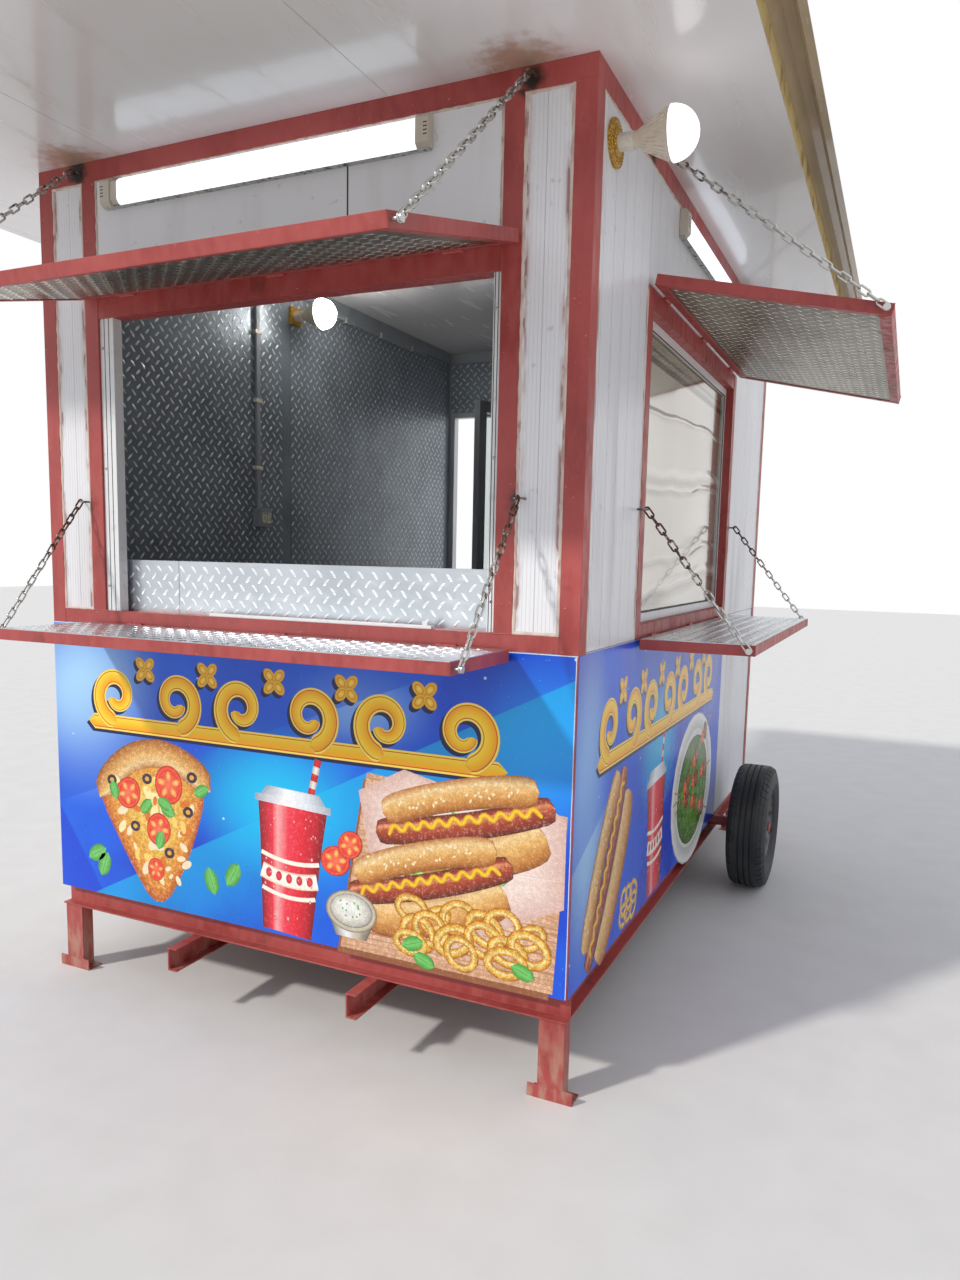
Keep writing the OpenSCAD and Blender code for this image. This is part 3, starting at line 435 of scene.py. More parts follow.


# Painted light: each lug metal is a lighter copy of its plate's metal, a painted highlight. The lining plate
# is a darker copy as painted shade, and the awning plate is darker from weathering and from painted shade.
bright_plate = plate_metal("bright_plate", (208, 214, 220), (184, 192, 200), 0.28)
bright_lug_painted_highlight = plate_metal("bright_lug_painted_highlight", (246, 248, 250), (232, 236, 240), 0.2, 0.8)
lining_plate = plate_metal("lining_plate", (138, 148, 156), (112, 120, 127), 0.34, 0.35)
lining_lug_painted_highlight = plate_metal("lining_lug_painted_highlight", (236, 240, 244), (212, 218, 226), 0.25, 0.3)
weathered_plate_painted_shade = plate_metal("weathered_plate_painted_shade", (140, 134, 118), (98, 92, 76), 0.34)
weathered_lug_painted_highlight = plate_metal("weathered_lug_painted_highlight", (236, 232, 220), (204, 198, 178), 0.2, 0.85)
dress(bright_plate, "front_counter_plate", "side_counter_plate", "counter_upstand")
dress(weathered_plate_painted_shade, "front_awning_plate", "side_awning_plate")
dress(lining_plate, "inner_lining")

# %% [markdown]
# The small parts follow: zinc chain that rusts from its upper end, powder coated window profiles, mill
# finish door frame, window film, lamp glass, pressed brass, grey trunking, worn floor boards and wheels.
# Most are one colour pair, one kind of wear and one relief, because more would not show at this size.

# %% Zinc chain and hooks


def zinc(name, top_z, low_z, rust_low, rust_high):
    chain = Finish(name, 0.34, 0.9)
    height = chain.z.step(low_z, top_z, rust_low, rust_high)
    patch = (chain.noise(60.0, 5.0) + height).step(0.78, 1.02)
    chain.tone(patch, (196, 196, 192), (92, 62, 44))
    chain.set(Metallic=patch.between(0.95, 0.1), Roughness=patch.between(0.3, 0.8))
    chain.bump(chain.noise(240.0, 4.0), 0.0003)
    return chain


for pair in ("front_awning_chains", "side_awning_chains", "front_counter_chains", "side_counter_chains"):
    low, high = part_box(pair)
    rust_high = 0.56 if "counter" in pair else 0.38
    dress(zinc(pair + "_zinc", high.z, low.z, 0.12, rust_high), pair)
dress(zinc("hook_steel", 1.0, 0.0, 0.5, 0.5), "chain_hooks")

# %% Painted and bare aluminium, glass and film


def worn(name, roughness, metallic, wear, fresh, old, grain=None):
    """Two colours. wear is a noise's scale and detail and its step; grain is scale, detail and depth."""
    made = Finish(name, roughness, metallic)
    made.wear = made.noise(*wear[:2])
    if len(wear) > 2:
        made.wear = made.wear.step(*wear[2:])
    made.tone(made.wear, fresh, old)
    if grain:
        made.bump(made.noise(*grain[:2]), grain[2])
    return made


def coated_aluminium():
    coat = Finish("white_coat", 0.3)
    coat.tone(coat.noise(24.0, 5.0).step(0.55, 0.78) * 0.4, (232, 232, 231), (168, 160, 152))
    coat.bump(coat.noise(420.0, 2.0), 0.0001)
    return coat


def bare_aluminium():
    bare = Finish("mill_aluminium", 0.36, 0.9)
    grain = bare.noise(90.0, 3.0, (1.0, 1.0, 0.05))
    bare.tone(grain, (196, 198, 202), (158, 160, 164))
    bare.bump(grain, 0.0003)
    return bare


def window_film():
    """Pale cloth behind the glass: painted shade at its rear end, a hem at its top, and wide wrinkles with
    painted shade and highlight.
    """
    film = Finish("window_film", 0.12, 0.25)
    broad = film.noise(1.3, 1.5, (1.0, 0.6, 1.6))
    wave = (film.noise(1.5, 0.0, (1.0, 0.6, 0.4)) - 0.5) * 0.30
    sag = wave + (film.noise(4.0, 1.0, (1.0, 0.6, 0.4)) - 0.5) * 0.05
    film.tone(broad.step(0.36, 0.64), (214, 207, 192), (190, 178, 160))
    # Painted shade: the cloth darkens towards the rear jamb.
    film.wash((film.y + sag).step(cabin(0, 1.70, 0).y, cabin(0, 1.96, 0).y) * 0.75, 124, 110, 92)
    relief = broad
    # Each wrinkle gets a band of painted shade below it and a band of painted highlight above it.
    for height, wide, strength in ((1.60, 0.030, 0.60), (1.55, 0.018, 0.50), (1.30, 0.022, 0.30),
                                   (1.19, 0.034, 0.65), (1.80, 0.014, 0.20)):
        apart = film.z + sag - cabin(0, 0, height).z
        shown = broad.step(0.30, 0.56) * strength
        light = abs(apart - wide / 2).step(wide, 0.0)
        film.wash(abs(apart + wide / 2).step(wide, 0.0) * shown, 120, 104, 84)
        film.wash(light * shown, 226, 220, 206)
        relief = relief + light * 0.12
    slack = film.z + sag * 0.12
    film.wash(slack.step(cabin(0, 0, 2.000).z, cabin(0, 0, 2.006).z) * 0.85, 150, 134, 110)
    for height, wide, tone in ((2.000, 0.016, (70, 58, 44)), (2.034, 0.008, (88, 74, 56))):
        film.wash(abs(slack - cabin(0, 0, height).z).step(wide, wide * 0.4), *tone)
    film.bump(relief, 0.05)
    film.set(Coat_Weight=0.6)
    return film


def clear_glass():
    glass = Finish("clear_glass", 0.04)
    smear = glass.noise(5.0, 4.0).step(0.5, 0.8)
    glass.set(Base_Color=ink(226, 236, 234), Transmission_Weight=0.92, IOR=1.45)
    glass.set(Roughness=smear.between(0.03, 0.16))
    glass.bump(glass.noise(2.0, 1.0), 0.001)
    return glass


dress(coated_aluminium(), "window_rails", "side_window_sash")
dress(bare_aluminium(), "door_frame", "rear_door_leaf")
dress(window_film(), "side_window_glass")
dress(clear_glass(), "rear_door_glass")

# %% Lamps
LAMP_LENGTH, LAMP_CAP, LAMP_SHIFT = 1.218, 0.042, 0.014
FRONT_LAMP_X = MIDDLE - 0.081
SIDE_LAMP_Y = cabin(0, 1.540, 0).y
BULB_HEIGHT, BULB_OUT_Y, BULB_IN_Y = 2.440, 0.160, 1.380
BULB_OUT, BULB_IN = HALF_WIDTH - PANEL_SET, -HALF_WIDTH + LINING_SET


def lit_tube():
    """Opal cover that glows between two cream end caps. One node holds both lamps."""
    tube = Finish("lit_tube", 0.3)
    in_front = tube.y.below(posts_low.y + 0.05)
    from_front = abs(tube.x - (FRONT_LAMP_X + LAMP_SHIFT)) + LAMP_SHIFT
    distance = in_front * from_front + (1.0 - in_front) * abs(tube.y - SIDE_LAMP_Y)
    glow = distance.below(LAMP_LENGTH / 2 - LAMP_CAP)
    tube.tone(tube.noise(16.0, 2.0), (214, 206, 192), (196, 184, 166))
    tube.wash(glow, 240, 246, 252)
    tube.set(Emission_Color=ink(232, 244, 255), Emission_Strength=glow * 1.1)
    return tube


def bulb_part(finish, outer, inner):
    """1 where a bulb is further off its wall than the two limits say, outside and inside."""
    in_cabin = finish.x.below(MIDDLE)
    beyond = [finish.x.above(cabin(limit, 0, 0).x) for limit in (HALF_WIDTH + outer, -HALF_WIDTH + inner)]
    return beyond[0].most(beyond[1] * in_cabin), in_cabin


def lit_bulb():
    """Cream ribbed body with a glowing dome. The dome starts a hand's width off the wall."""
    bulb = Finish("lit_bulb", 0.4)
    glow, in_cabin = bulb_part(bulb, 0.156, 0.214)
    bulb.tone(bulb.noise(20.0, 2.0), (226, 218, 202), (208, 196, 176))
    bulb.wash(glow, 250, 250, 250)
    bulb.set(Emission_Color=ink(255, 253, 248), Emission_Strength=glow * (in_cabin * 60.0 + 1.3))
    return bulb


def pressed_brass():
    brass = Finish("pressed_brass", 0.34)
    dark = brass.cells(150.0).step(0.45, 0.15)
    holder = bulb_part(brass, 0.0112, 0.0692)[0]
    brass.tone(dark, (168, 122, 34), (246, 206, 78))
    brass.wash(holder, 222, 216, 204)
    brass.set(Metallic=0.35 - holder * 0.3)
    brass.bump(dark, 0.001)
    return brass


brass = pressed_brass()
dress(lit_tube(), "tube_lamps")
dress(lit_bulb(), "bulbs")
dress(brass, "bulb_bases")

# %% Trunking, floor boards, tyres and rims
BOARD_HALF = 0.075


def floor_boards():
    board = Finish("floor_boards", 0.6)
    grain = board.noise(9.0, 6.0, (1.0, 0.06, 1.0))
    seam = board.x.math("PINGPONG", BOARD_HALF).step(0.0, 0.002)
    board.tone(grain, (134, 112, 88), (96, 78, 60))
    board.wash(1.0 - seam, 40, 34, 28)
    board.bump(grain, 0.001)
    board.bump(seam, 0.002)
    return board


rubber = worn("tyre_rubber", 0.72, 0.0, (7.0, 5.0, 0.4, 0.75), (30, 34, 40), (72, 71, 70),
              (260.0, 3.0, 0.0004))
rubber.set(Roughness=rubber.wear.between(0.55, 0.9))
rim_paint = worn("wheel_paint", 0.5, 0.3, (30.0, 6.0, 0.5, 0.68), (108, 110, 112), (92, 58, 40))
rim_paint.set(Roughness=rim_paint.wear.between(0.4, 0.85))
rim_paint.bump(rim_paint.wear, 0.0004)
trunking = worn("grey_trunking", 0.5, 0.0, (12.0, 3.0), (166, 172, 178), (132, 138, 144),
                (500.0, 2.0, 0.0001))
dress(trunking, "conduit")
dress(floor_boards(), "floor_deck")
dress(rubber, "tyre_left", "tyre_right")
dress(rim_paint, "rim_left", "rim_right")

# %% [markdown]
# Real steel edges are rounded by a millimetre or so, and that thin highlight is what makes a member read
# as metal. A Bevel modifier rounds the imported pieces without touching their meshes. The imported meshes
# have doubled corners, so a Weld modifier has to join them first.

# %% Rounded edges
WELD_REACH = 0.00005
EDGE_RADIUS = {0.0015: RED_NODES + ("window_rails", "side_window_sash", "door_frame", "rear_door_leaf"),
               0.003: ("tube_lamps", "conduit")}
for radius, names in EDGE_RADIUS.items():
    for name in names:
        weld = nodes[name].modifiers.new("weld", "WELD")
        weld.merge_threshold = WELD_REACH
        bevel = nodes[name].modifiers.new("rounded_edges", "BEVEL")
        bevel.width = radius
        bevel.segments = 2
        bevel.limit_method = "ANGLE"
        bevel.angle_limit = math.radians(40)
        bevel.harden_normals = True
print("rounded", sum(len(names) for names in EDGE_RADIUS.values()), "pieces")

# %% [markdown]
# New pieces are made from points and faces. A small class collects many like solids, such as lugs or
# screws, so that each kind becomes one joined mesh and the file stays light. It then gives the mesh its
# finish and lets it ride on the body that carries it.

# %% Mesh helpers
draws = random.Random(7)


class Batch:
    """Points and faces of many small solids that end up as one mesh."""

    def __init__(self):
        self.points, self.faces, self.tints = [], [], []

    def add(self, points, faces, tints=()):
        start = len(self.points)
        self.points += [tuple(point) for point in points]
        self.faces += [tuple(start + index for index in face) for face in faces]
        self.tints += tints

    def piece(self, name, body, slot, finish, smooth=False):
        mesh = bpy.data.meshes.new(name)
        mesh.from_pydata(self.points, [], self.faces)
        mesh.polygons.foreach_set("use_smooth", [smooth] * len(mesh.polygons))
        if self.tints:
            layer = mesh.color_attributes.new("tint", "FLOAT_COLOR", "POINT")
            layer.data.foreach_set("color", [part for tint in self.tints for part in tint])
        mesh.materials.append(finish.material)
        made = bpy.data.objects.new(name, mesh)
        bpy.context.scene.collection.objects.link(made)
        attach(made, body)
        print(name, "has", len(self.faces), "faces")


# %% [markdown]
# The lower walls carry a glossy printed film: snacks on a blue ground with a gold ornament above them.
# The ground is soft, so it suits nodes: a deep blue, a few pale glows, some folded facets and dots. Its
# coordinates are metres on the wall, which makes it easy to put a glow behind a certain motif.

# %% Ground of the print


def film_relief(film, along):
    """Fine ribs of the panel that show through, and the film's slight waviness."""
    film.bump(along.math("PINGPONG", FINE_RIB), 0.0004)
    film.bump(film.z.math("PINGPONG", 0.0035), 0.0003)
    film.bump(film.noise(5.0, 2.0, (1.0, 1.0, 0.4)), 0.003)


def print_ground(name, side, glows, facets):
    ground = Finish(name, 0.28)
    u, v = along_wall(ground, side), ground.z - base_low.z
    cloud = ground.noise(2.6)
    ground.tone(cloud.step(0.3, 0.7), (4, 56, 190), (16, 98, 226))
    for (gu, gv), (ru, rv), colour, strength in glows:
        square = ((u - gu) / ru).math("POWER", 2.0) + ((v - gv) / rv).math("POWER", 2.0)
        ground.wash(square.math("SQRT").step(1.0, 0.1) * strength, *colour)
    for (across, upward, start), colour, strength in facets:
        beyond = u * across + v * upward - start
        ground.wash(beyond.step(0.0, 0.003) * strength * beyond.step(0.45, 0.0), *colour)
    ground.wash(ground.cells(9.0).step(0.055, 0.03) * 0.85, 190, 232, 255)
    ground.wash(ground.cells(31.0).step(0.07, 0.04) * 0.3, 170, 220, 255)
    ground.set(Roughness=cloud.step(0.2, 0.8, 0.22, 0.36))
    film_relief(ground, u)
    return ground


PALE, CYAN, AZURE = (176, 222, 250), (0, 190, 236), (30, 140, 240)
front_glows = [((-0.86, 0.80), (0.42, 0.44), PALE, 0.9), ((-0.02, 0.52), (0.46, 0.30), CYAN, 0.95),
               ((0.30, 0.86), (0.30, 0.16), PALE, 0.45), ((0.92, 0.80), (0.34, 0.34), AZURE, 0.8)]
front_facets = [((-0.82, -0.57, 0.60), (0, 60, 205), 0.75), ((0.45, -0.89, -0.44), CYAN, 0.5),
                ((-0.35, 0.94, 0.72), (22, 84, 206), 0.6)]
side_glows = [((0.12, 0.60), (0.26, 0.60), PALE, 0.8), ((0.98, 0.66), (0.36, 0.34), CYAN, 0.85),
              ((1.85, 0.80), (0.45, 0.30), AZURE, 0.6)]
side_facets = [((0.50, -0.87, 0.20), (4, 50, 190), 0.7), ((-0.4, 0.92, 0.40), (30, 96, 214), 0.5)]
dress(print_ground("front_print_ground", False, front_glows, front_facets), "front_vinyl")
dress(print_ground("side_print_ground", True, side_glows, side_facets), "side_vinyl")

# %% [markdown]
# The motifs are sharp, so they are drawn as flat coloured meshes in layers a few thousandths of a
# millimetre apart, like ink on ink. Two tools are enough. A fill shrinks an outline towards its middle and
# gives each ring a colour. A stroke lays a ribbon along a path and gives it a colour at each place across
# its width, which is how round things such as buns and cups get their shading.

# %% Drawing tools
LAYER = 0.000005
FILM = 0.001


def turned(degrees):
    """Cosine and sine of an angle."""
    return math.cos(math.radians(degrees)), math.sin(math.radians(degrees))


def mix(first, last, share):
    return tuple(a + (b - a) * share for a, b in zip(first, last))


def circle(u, v, wide, tall=None, turn=0.0, count=26, start=0.0, sweep=360.0):
    tall = wide if tall is None else tall
    c, s = turned(turn)
    points = []
    for step in range(count if sweep == 360.0 else count + 1):
        x, y = turned(start + sweep * step / count)
        x, y = wide * x, tall * y
        points.append((u + c * x - s * y, v + s * x + c * y))
    return points


def smooth(points, closed=False):
    """Cuts corners twice, which makes the line round."""
    for _ in range(2):
        pairs = zip(points, points[1:] + points[:1]) if closed else zip(points, points[1:])
        cut = []
        for (ax, ay), (bx, by) in pairs:
            cut += [(0.75 * ax + 0.25 * bx, 0.75 * ay + 0.25 * by),
                    (0.25 * ax + 0.75 * bx, 0.25 * ay + 0.75 * by)]
        points = cut if closed else [points[0]] + cut + [points[-1]]
    return points


def scatter(count, *limits):
    """Random places, one after the other, with a number for each pair of limits."""
    for _ in range(count):
        yield [draws.uniform(low, high) for low, high in limits]


def flat(colour):
    return [(0, colour), (1.0, colour)]


class Art:
    """Coloured layers on a wall. Shapes are given in a motif's own frame."""

    def __init__(self, spot):
        self.spot, self.out, self.batch = spot, FILM, Batch()
        self.at()

    def at(self, u=0.0, v=0.0, size=1.0, turn=0.0, over=False):
        """Sets a motif's place. It starts on the film, or over all that was drawn before."""
        self.shift, self.size = (u, v), size
        self.out = self.out if over else FILM
        self.cos, self.sin = turned(turn)
        return self

    def wall(self, point):
        x, y = point[0] * self.size, point[1] * self.size
        u = self.shift[0] + self.cos * x - self.sin * y
        return self.spot(u, self.shift[1] + self.sin * x + self.cos * y, self.out)

    def lay(self, points, faces, colours, grain):
        tints = [ink(*colour)[:3] + (grain,) for colour in colours]
        self.batch.add([self.wall(point) for point in points], faces, tints)

    def fill(self, outline, stops, centre=None, grain=0.3):
        self.out += LAYER
        area = sum(a[0] * b[1] - b[0] * a[1] for a, b in zip(outline, outline[1:] + outline[:1]))
        outline = outline if area > 0 else outline[::-1]
        size = len(outline)
        if centre is None:
            centre = (sum(p[0] for p in outline) / size, sum(p[1] for p in outline) / size)
        points, colours = [centre], [stops[0][1]]
        for share, colour in stops[1:]:
            points += [mix(centre, point, share) for point in outline]
            colours += [colour] * size
        faces = [(0, 1 + k, 1 + (k + 1) % size) for k in range(size)]
        for low in range(1, 1 + (len(stops) - 2) * size, size):
            for k in range(size):
                after = (k + 1) % size
                faces.append((low + k, low + size + k, low + size + after, low + after))
        self.lay(points, faces, colours, grain)

    def disc(self, place, stops, centre=None, grain=0.3):
        self.fill(circle(*place), stops, centre, grain)

    def stroke(self, path, half, stops, taper=0.0, closed=False, grain=0.3):
        self.out += LAYER
        count, size = len(path), len(stops)
        points, faces = [], []
        for k, (x, y) in enumerate(path):
            before = path[k - 1] if closed or k else path[0]
            after = path[(k + 1) % count] if closed or k < count - 1 else path[-1]
            dx, dy = after[0] - before[0], after[1] - before[1]
            length = math.hypot(dx, dy) or 1.0
            nx, ny = -dy / length, dx / length
            wide = half[0] + (half[1] - half[0]) * k / (count - 1) if isinstance(half, tuple) else half
            near_end = min(k, count - 1 - k) / (count - 1)
            if taper and near_end < taper:
                wide *= math.sqrt(max(0.0, 1.0 - (1.0 - near_end / taper) ** 2))
            points += [(x + nx * wide * share, y + ny * wide * share) for share, colour in stops]
        for k in range(count if closed else count - 1):
            low, high = k * size, (k + 1) % count * size
            faces += [(low + s, high + s, high + s + 1, low + s + 1) for s in range(size - 1)]
        self.lay(points, faces, [colour for share, colour in stops] * count, grain)


# %% [markdown]
# Each motif is a short function in its own frame, about one unit wide, so that it can be placed at any
# size and turn. They are generic snacks: a pizza slice, a cup with a straw, a filled roll, crisp rings,
# a bowl, skewers on a plate. A seeded random source scatters their toppings the same way each time.

# %% Snack motifs
CRUST = [(-1.0, (150, 84, 30)), (-0.6, (206, 136, 60)), (0.0, (238, 184, 104)), (0.5, (250, 214, 150)),
         (1.0, (190, 116, 50))]


def leaf(art, u, v, long, turn, green=(60, 150, 50)):
    light = tuple(min(255, part + 60) for part in green)
    c, s = turned(turn)
    path = [(u + c * long * t, v + s * long * t) for t in (0.0, 0.2, 0.4, 0.6, 0.8, 1.0)]
    veins = [(-1.0, green), (-0.1, light), (0.0, green), (0.1, light), (1.0, green)]
    art.stroke(path, long * 0.3, veins, 0.5)


def tomato(art, u, v, r, turn=0.0):
    skin = [(0, (255, 120, 90)), (0.75, (232, 60, 40)), (0.86, (250, 90, 60)), (1.0, (176, 20, 20))]
    art.disc((u, v, r, r * 0.9, turn), skin)
    for angle in range(0, 360, 72):
        c, s = turned(turn + angle)
        art.disc((u + 0.5 * r * c, v + 0.45 * r * s, r * 0.26, r * 0.17, turn + angle, 10),
                 [(0, (255, 214, 120)), (1.0, (240, 130, 60))])


def pizza(art):
    """Slice with its tip down and its crust on top, about one wide and one high."""
    body = [(-0.08, -0.52), (0.20, -0.20), (0.44, 0.30), (0.20, 0.43), (-0.05, 0.46), (-0.30, 0.40),
            (-0.47, 0.28), (-0.28, -0.16)]
    art.fill(smooth(body, True), [(0, (255, 226, 120)), (0.5, (252, 196, 76)), (0.85, (240, 150, 48)),
                                  (1.0, (196, 92, 30))], (0.0, 0.1), 0.9)
    art.stroke(circle(0.0, -0.35, 0.60, 0.80, 0.0, 18, 45, 92), 0.085, CRUST, 0.12, grain=0.7)
    for u, v in scatter(60, (-0.3, 0.3), (-0.32, 0.32)):
        if abs(u) < 0.12 + 0.45 * (v + 0.4):
            shade = draws.choice([(255, 238, 170), (255, 214, 110), (224, 120, 40), (250, 232, 190)])
            long = draws.uniform(0.02, 0.055)
            art.disc((u, v, long, long * 0.55, draws.uniform(0, 180), 9), flat(shade))
    for u, v, r in ((-0.20, 0.22, 0.10), (0.12, 0.26, 0.115), (0.00, 0.00, 0.10), (-0.06, -0.24, 0.07)):
        tomato(art, u, v, r, draws.uniform(0, 90))
    for u, v in ((-0.04, 0.30), (0.24, 0.10), (-0.18, 0.02), (0.06, -0.14), (-0.32, 0.30), (0.30, 0.30)):
        art.disc((u, v, 0.038, 0.038 * 0.85), [(0, (236, 170, 70)), (0.42, (236, 170, 70)),
                                               (0.46, (30, 26, 40)), (1.0, (62, 52, 70))])
    for u, v, turn in ((-0.12, 0.10, 40), (0.14, 0.08, 150), (0.02, 0.18, -30), (-0.02, -0.12, 70),
                       (-0.30, 0.18, 100), (0.30, 0.20, 20)):
        leaf(art, u, v, 0.12, turn)


def cup(art):
    """Cup with a lid, a straw and drops, about half a unit wide and one high."""
    for k in range(7):
        shade = (250, 244, 236) if k % 2 else (230, 40, 40)
        dark = tuple(int(part * 0.72) for part in shade)
        ends = [(0.06 + height * 0.18, height) for height in (0.30 + k * 0.045, 0.345 + k * 0.045)]
        art.stroke(ends, 0.024, [(-1, dark), (0, shade), (1, dark)])
    red = [(-1.0, (120, 6, 20)), (-0.75, (196, 16, 40)), (-0.3, (236, 36, 58)), (0.1, (244, 60, 80)),
           (0.42, (255, 170, 170)), (0.58, (240, 50, 70)), (1.0, (134, 6, 24))]
    art.stroke([(0, -0.50), (0, -0.2), (0, 0.1), (0, 0.30)], (0.18, 0.25), red)
    cream = (255, 250, 236)
    for low, tall in ((-0.13, 0.050), (-0.02, 0.014), (-0.24, 0.014)):
        half = 0.213 + 0.075 * low
        sag = [(half * t, low - 0.03 * (1 - t * t)) for t in (-1, -0.75, -0.5, -0.25, 0, 0.25, 0.5, 0.75, 1)]
        art.stroke(sag, tall, [(-1, (246, 206, 170)), (-0.7, cream), (0.7, cream), (1, (226, 180, 150))])
    for k in range(5):
        u = -0.15 + 0.075 * k
        art.disc((u, -0.152 + 0.5 * u * u, 0.022, 0.030), [(0, (244, 70, 84)), (1, (206, 24, 50))])
    lid = [(-1.0, (168, 178, 190)), (-0.4, (232, 238, 244)), (0.2, (255, 255, 255)),
           (1.0, (160, 170, 184))]
    art.stroke([(0, 0.295), (0, 0.34)], 0.275, lid)
    art.stroke([(0, 0.34), (0, 0.40)], (0.235, 0.19), lid)
    for u, v, r in scatter(26, (-0.18, 0.18), (-0.45, 0.26), (0.005, 0.012)):
        art.disc((u, v, r, r * 1.3, 0, 8), [(0, (255, 230, 230)), (1.0, (206, 60, 80))])


def bun(art, ends, middle, half):
    path = smooth([(-ends[0], ends[1]), (-0.2, middle), (0.2, middle), ends])
    art.stroke(path, half, CRUST, 0.22, grain=0.6)


def roll(art):
    """Long soft roll with a sausage, leaves and a line of mustard, about one wide."""
    bun(art, (0.46, -0.10), -0.17, 0.12)
    for k in range(22):
        tone = draws.choice([(70, 160, 50), (110, 196, 70), (46, 130, 44)])
        leaf(art, -0.42 + k * 0.04, -0.04 + draws.uniform(-0.02, 0.02), 0.13, draws.uniform(30, 150), tone)
    for k in range(7):
        tomato(art, -0.36 + k * 0.12, 0.02, 0.055, draws.uniform(0, 90))
    meat = [(-1.0, (84, 22, 12)), (-0.5, (156, 52, 30)), (0.1, (196, 84, 48)), (0.4, (240, 160, 110)),
            (0.6, (176, 66, 38)), (1.0, (96, 28, 16))]
    sausage = smooth([(-0.54, 0.03), (-0.2, 0.0), (0.2, 0.0), (0.54, 0.04)])
    art.stroke(sausage, 0.075, meat, 0.16, grain=0.8)
    zigzag = smooth([(-0.46 + 0.046 * k, 0.03 + (0.035 if k % 2 else -0.03)) for k in range(21)])
    art.stroke(zigzag, 0.014, [(-1, (206, 140, 10)), (0, (255, 216, 40)), (1, (226, 160, 20))], 0.05)
    bun(art, (0.47, 0.13), 0.17, 0.085)
    seed = [(0, (255, 244, 214)), (1.0, (240, 214, 160))]
    for u, v, turn in scatter(34, (-0.38, 0.38), (0.13, 0.22), (0, 180)):
        art.disc((u, v, 0.012, 0.007, turn, 7), seed)


def rings(art, spots):
    gold = [(-1.0, (186, 104, 16)), (-0.6, (240, 170, 40)), (-0.1, (255, 214, 92)), (0.3, (255, 240, 170)),
            (0.6, (250, 190, 60)), (1.0, (196, 116, 24))]
    for u, v, r, squash, turn in spots:
        art.stroke(circle(u, v, r, r * squash, turn, 22), r * 0.24, gold, closed=True, grain=1.0)


def bowl(art, dip, rim):
    dark, lit = tuple(int(part * 0.6) for part in rim), tuple(min(255, part + 40) for part in dip)
    side = [(-1, dark), (-0.3, rim), (0.2, (250, 250, 250)), (1, dark)]
    art.stroke([(0, -0.46), (0, -0.2), (0, 0.0)], (0.30, 0.50), side)
    art.disc((0, 0.0, 0.50, 0.36), [(0, rim), (0.9, rim), (1.0, dark)])
    art.disc((0, 0.01, 0.42, 0.29), [(0, lit), (0.6, dip), (0.92, tuple(int(p * 0.8) for p in dip)),
                                     (1.0, dark)], (-0.1, 0.08), 0.5)
    for u, v, turn in scatter(12, (-0.25, 0.22), (-0.14, 0.16), (0, 180)):
        leaf(art, u, v, 0.05, turn)


def board(art, outline, planks=9):
    art.fill([(u - 0.012, v - 0.02) for u, v in outline], [(0, (176, 116, 76)), (1.0, (150, 92, 58))])
    art.fill(outline, [(0, (250, 222, 196)), (0.6, (242, 204, 168)), (1.0, (226, 176, 136))], None, 0.8)
    for k in range(1, planks * 4):
        share = k / (planks * 4) + draws.uniform(-0.006, 0.006)
        first, last = mix(outline[0], outline[3], share), mix(outline[1], outline[2], share)
        points = [mix(first, last, t) for t in (0.0, 0.25, 0.5, 0.75, 1.0)]
        path = [(u, v + draws.uniform(-0.003, 0.003)) for u, v in points]
        tone = draws.choice([(206, 150, 110), (232, 190, 152), (190, 134, 96)])
        art.stroke(path, 0.0035 if k % 4 == 0 else 0.0016, [(-1, tone), (1, tone)])


def skewer(art, turn):
    c, s = turned(turn)
    stick = [(-0.62 * c, -0.62 * s), (0.62 * c, 0.62 * s)]
    art.stroke(stick, 0.008, [(-1, (150, 110, 60)), (1, (220, 184, 120))])
    for k in range(9):
        t = -0.40 + 0.10 * k
        if k % 3 == 1:
            tomato(art, t * c, t * s, 0.06, turn)
        else:
            tone = [(0, (206, 124, 70)), (0.7, (158, 78, 40)), (1.0, (92, 42, 24))]
            tone = tone if k % 3 else [(0, (120, 190, 80)), (1.0, (60, 130, 50))]
            art.disc((t * c, t * s, 0.058, 0.075, turn, 12), tone, None, 1.0)


def plate(art):
    art.disc((0, 0, 0.62, 0.50), [(0, (246, 246, 244)), (0.78, (236, 234, 230)), (0.80, (206, 202, 196)),
                                  (0.97, (250, 250, 248)), (1.0, (150, 146, 144))])
    art.disc((0, -0.01, 0.46, 0.36), [(0, (110, 176, 70)), (0.7, (80, 150, 54)), (1.0, (52, 116, 40))],
             None, 1.0)


# %% [markdown]
# The gold ornament runs above the snacks: a bar, a row of curls that turn left and right, and rosettes
# between them. Each shape is laid twice. First comes a navy copy that is shifted down and left, then the
# gold with a fine red line near its edges, so the ornament seems to stand off the ground.

# %% Gold ornament
RED_LINE, RIM, GLOSS, SHINE = (200, 62, 16), (228, 160, 20), (255, 236, 120), (255, 212, 40)
GOLD = [(-1.0, RIM), (-0.92, GLOSS), (-0.76, SHINE), (-0.74, RED_LINE), (-0.66, RED_LINE),
        (-0.64, (246, 164, 16)), (0.0, (255, 196, 24)), (0.64, (255, 218, 60)), (0.66, RED_LINE),
        (0.74, RED_LINE), (0.76, SHINE), (0.92, GLOSS), (1.0, RIM)]
ROSETTE = [(0, (255, 226, 90)), (0.5, (240, 180, 40)), (0.62, (196, 84, 24)), (0.7, (250, 200, 50)),
           (1.0, (206, 146, 30))]
NAVY = (14, 22, 74)
SHADOW_SHIFT = 0.011
PETAL_REACH, ROSETTE_DROP = 0.026, 0.045


def curl(u, v, r, hand, turns=1.2, count=44):
    """Spiral that leaves the bar below it and winds inwards."""
    points = []
    for step in range(count + 1):
        share = step / count
        c, s = turned(-90 + hand * 360 * turns * share)
        reach = r * (1.0 - 0.74 * share)
        points.append((u + reach * c, v + reach * s))
    return points


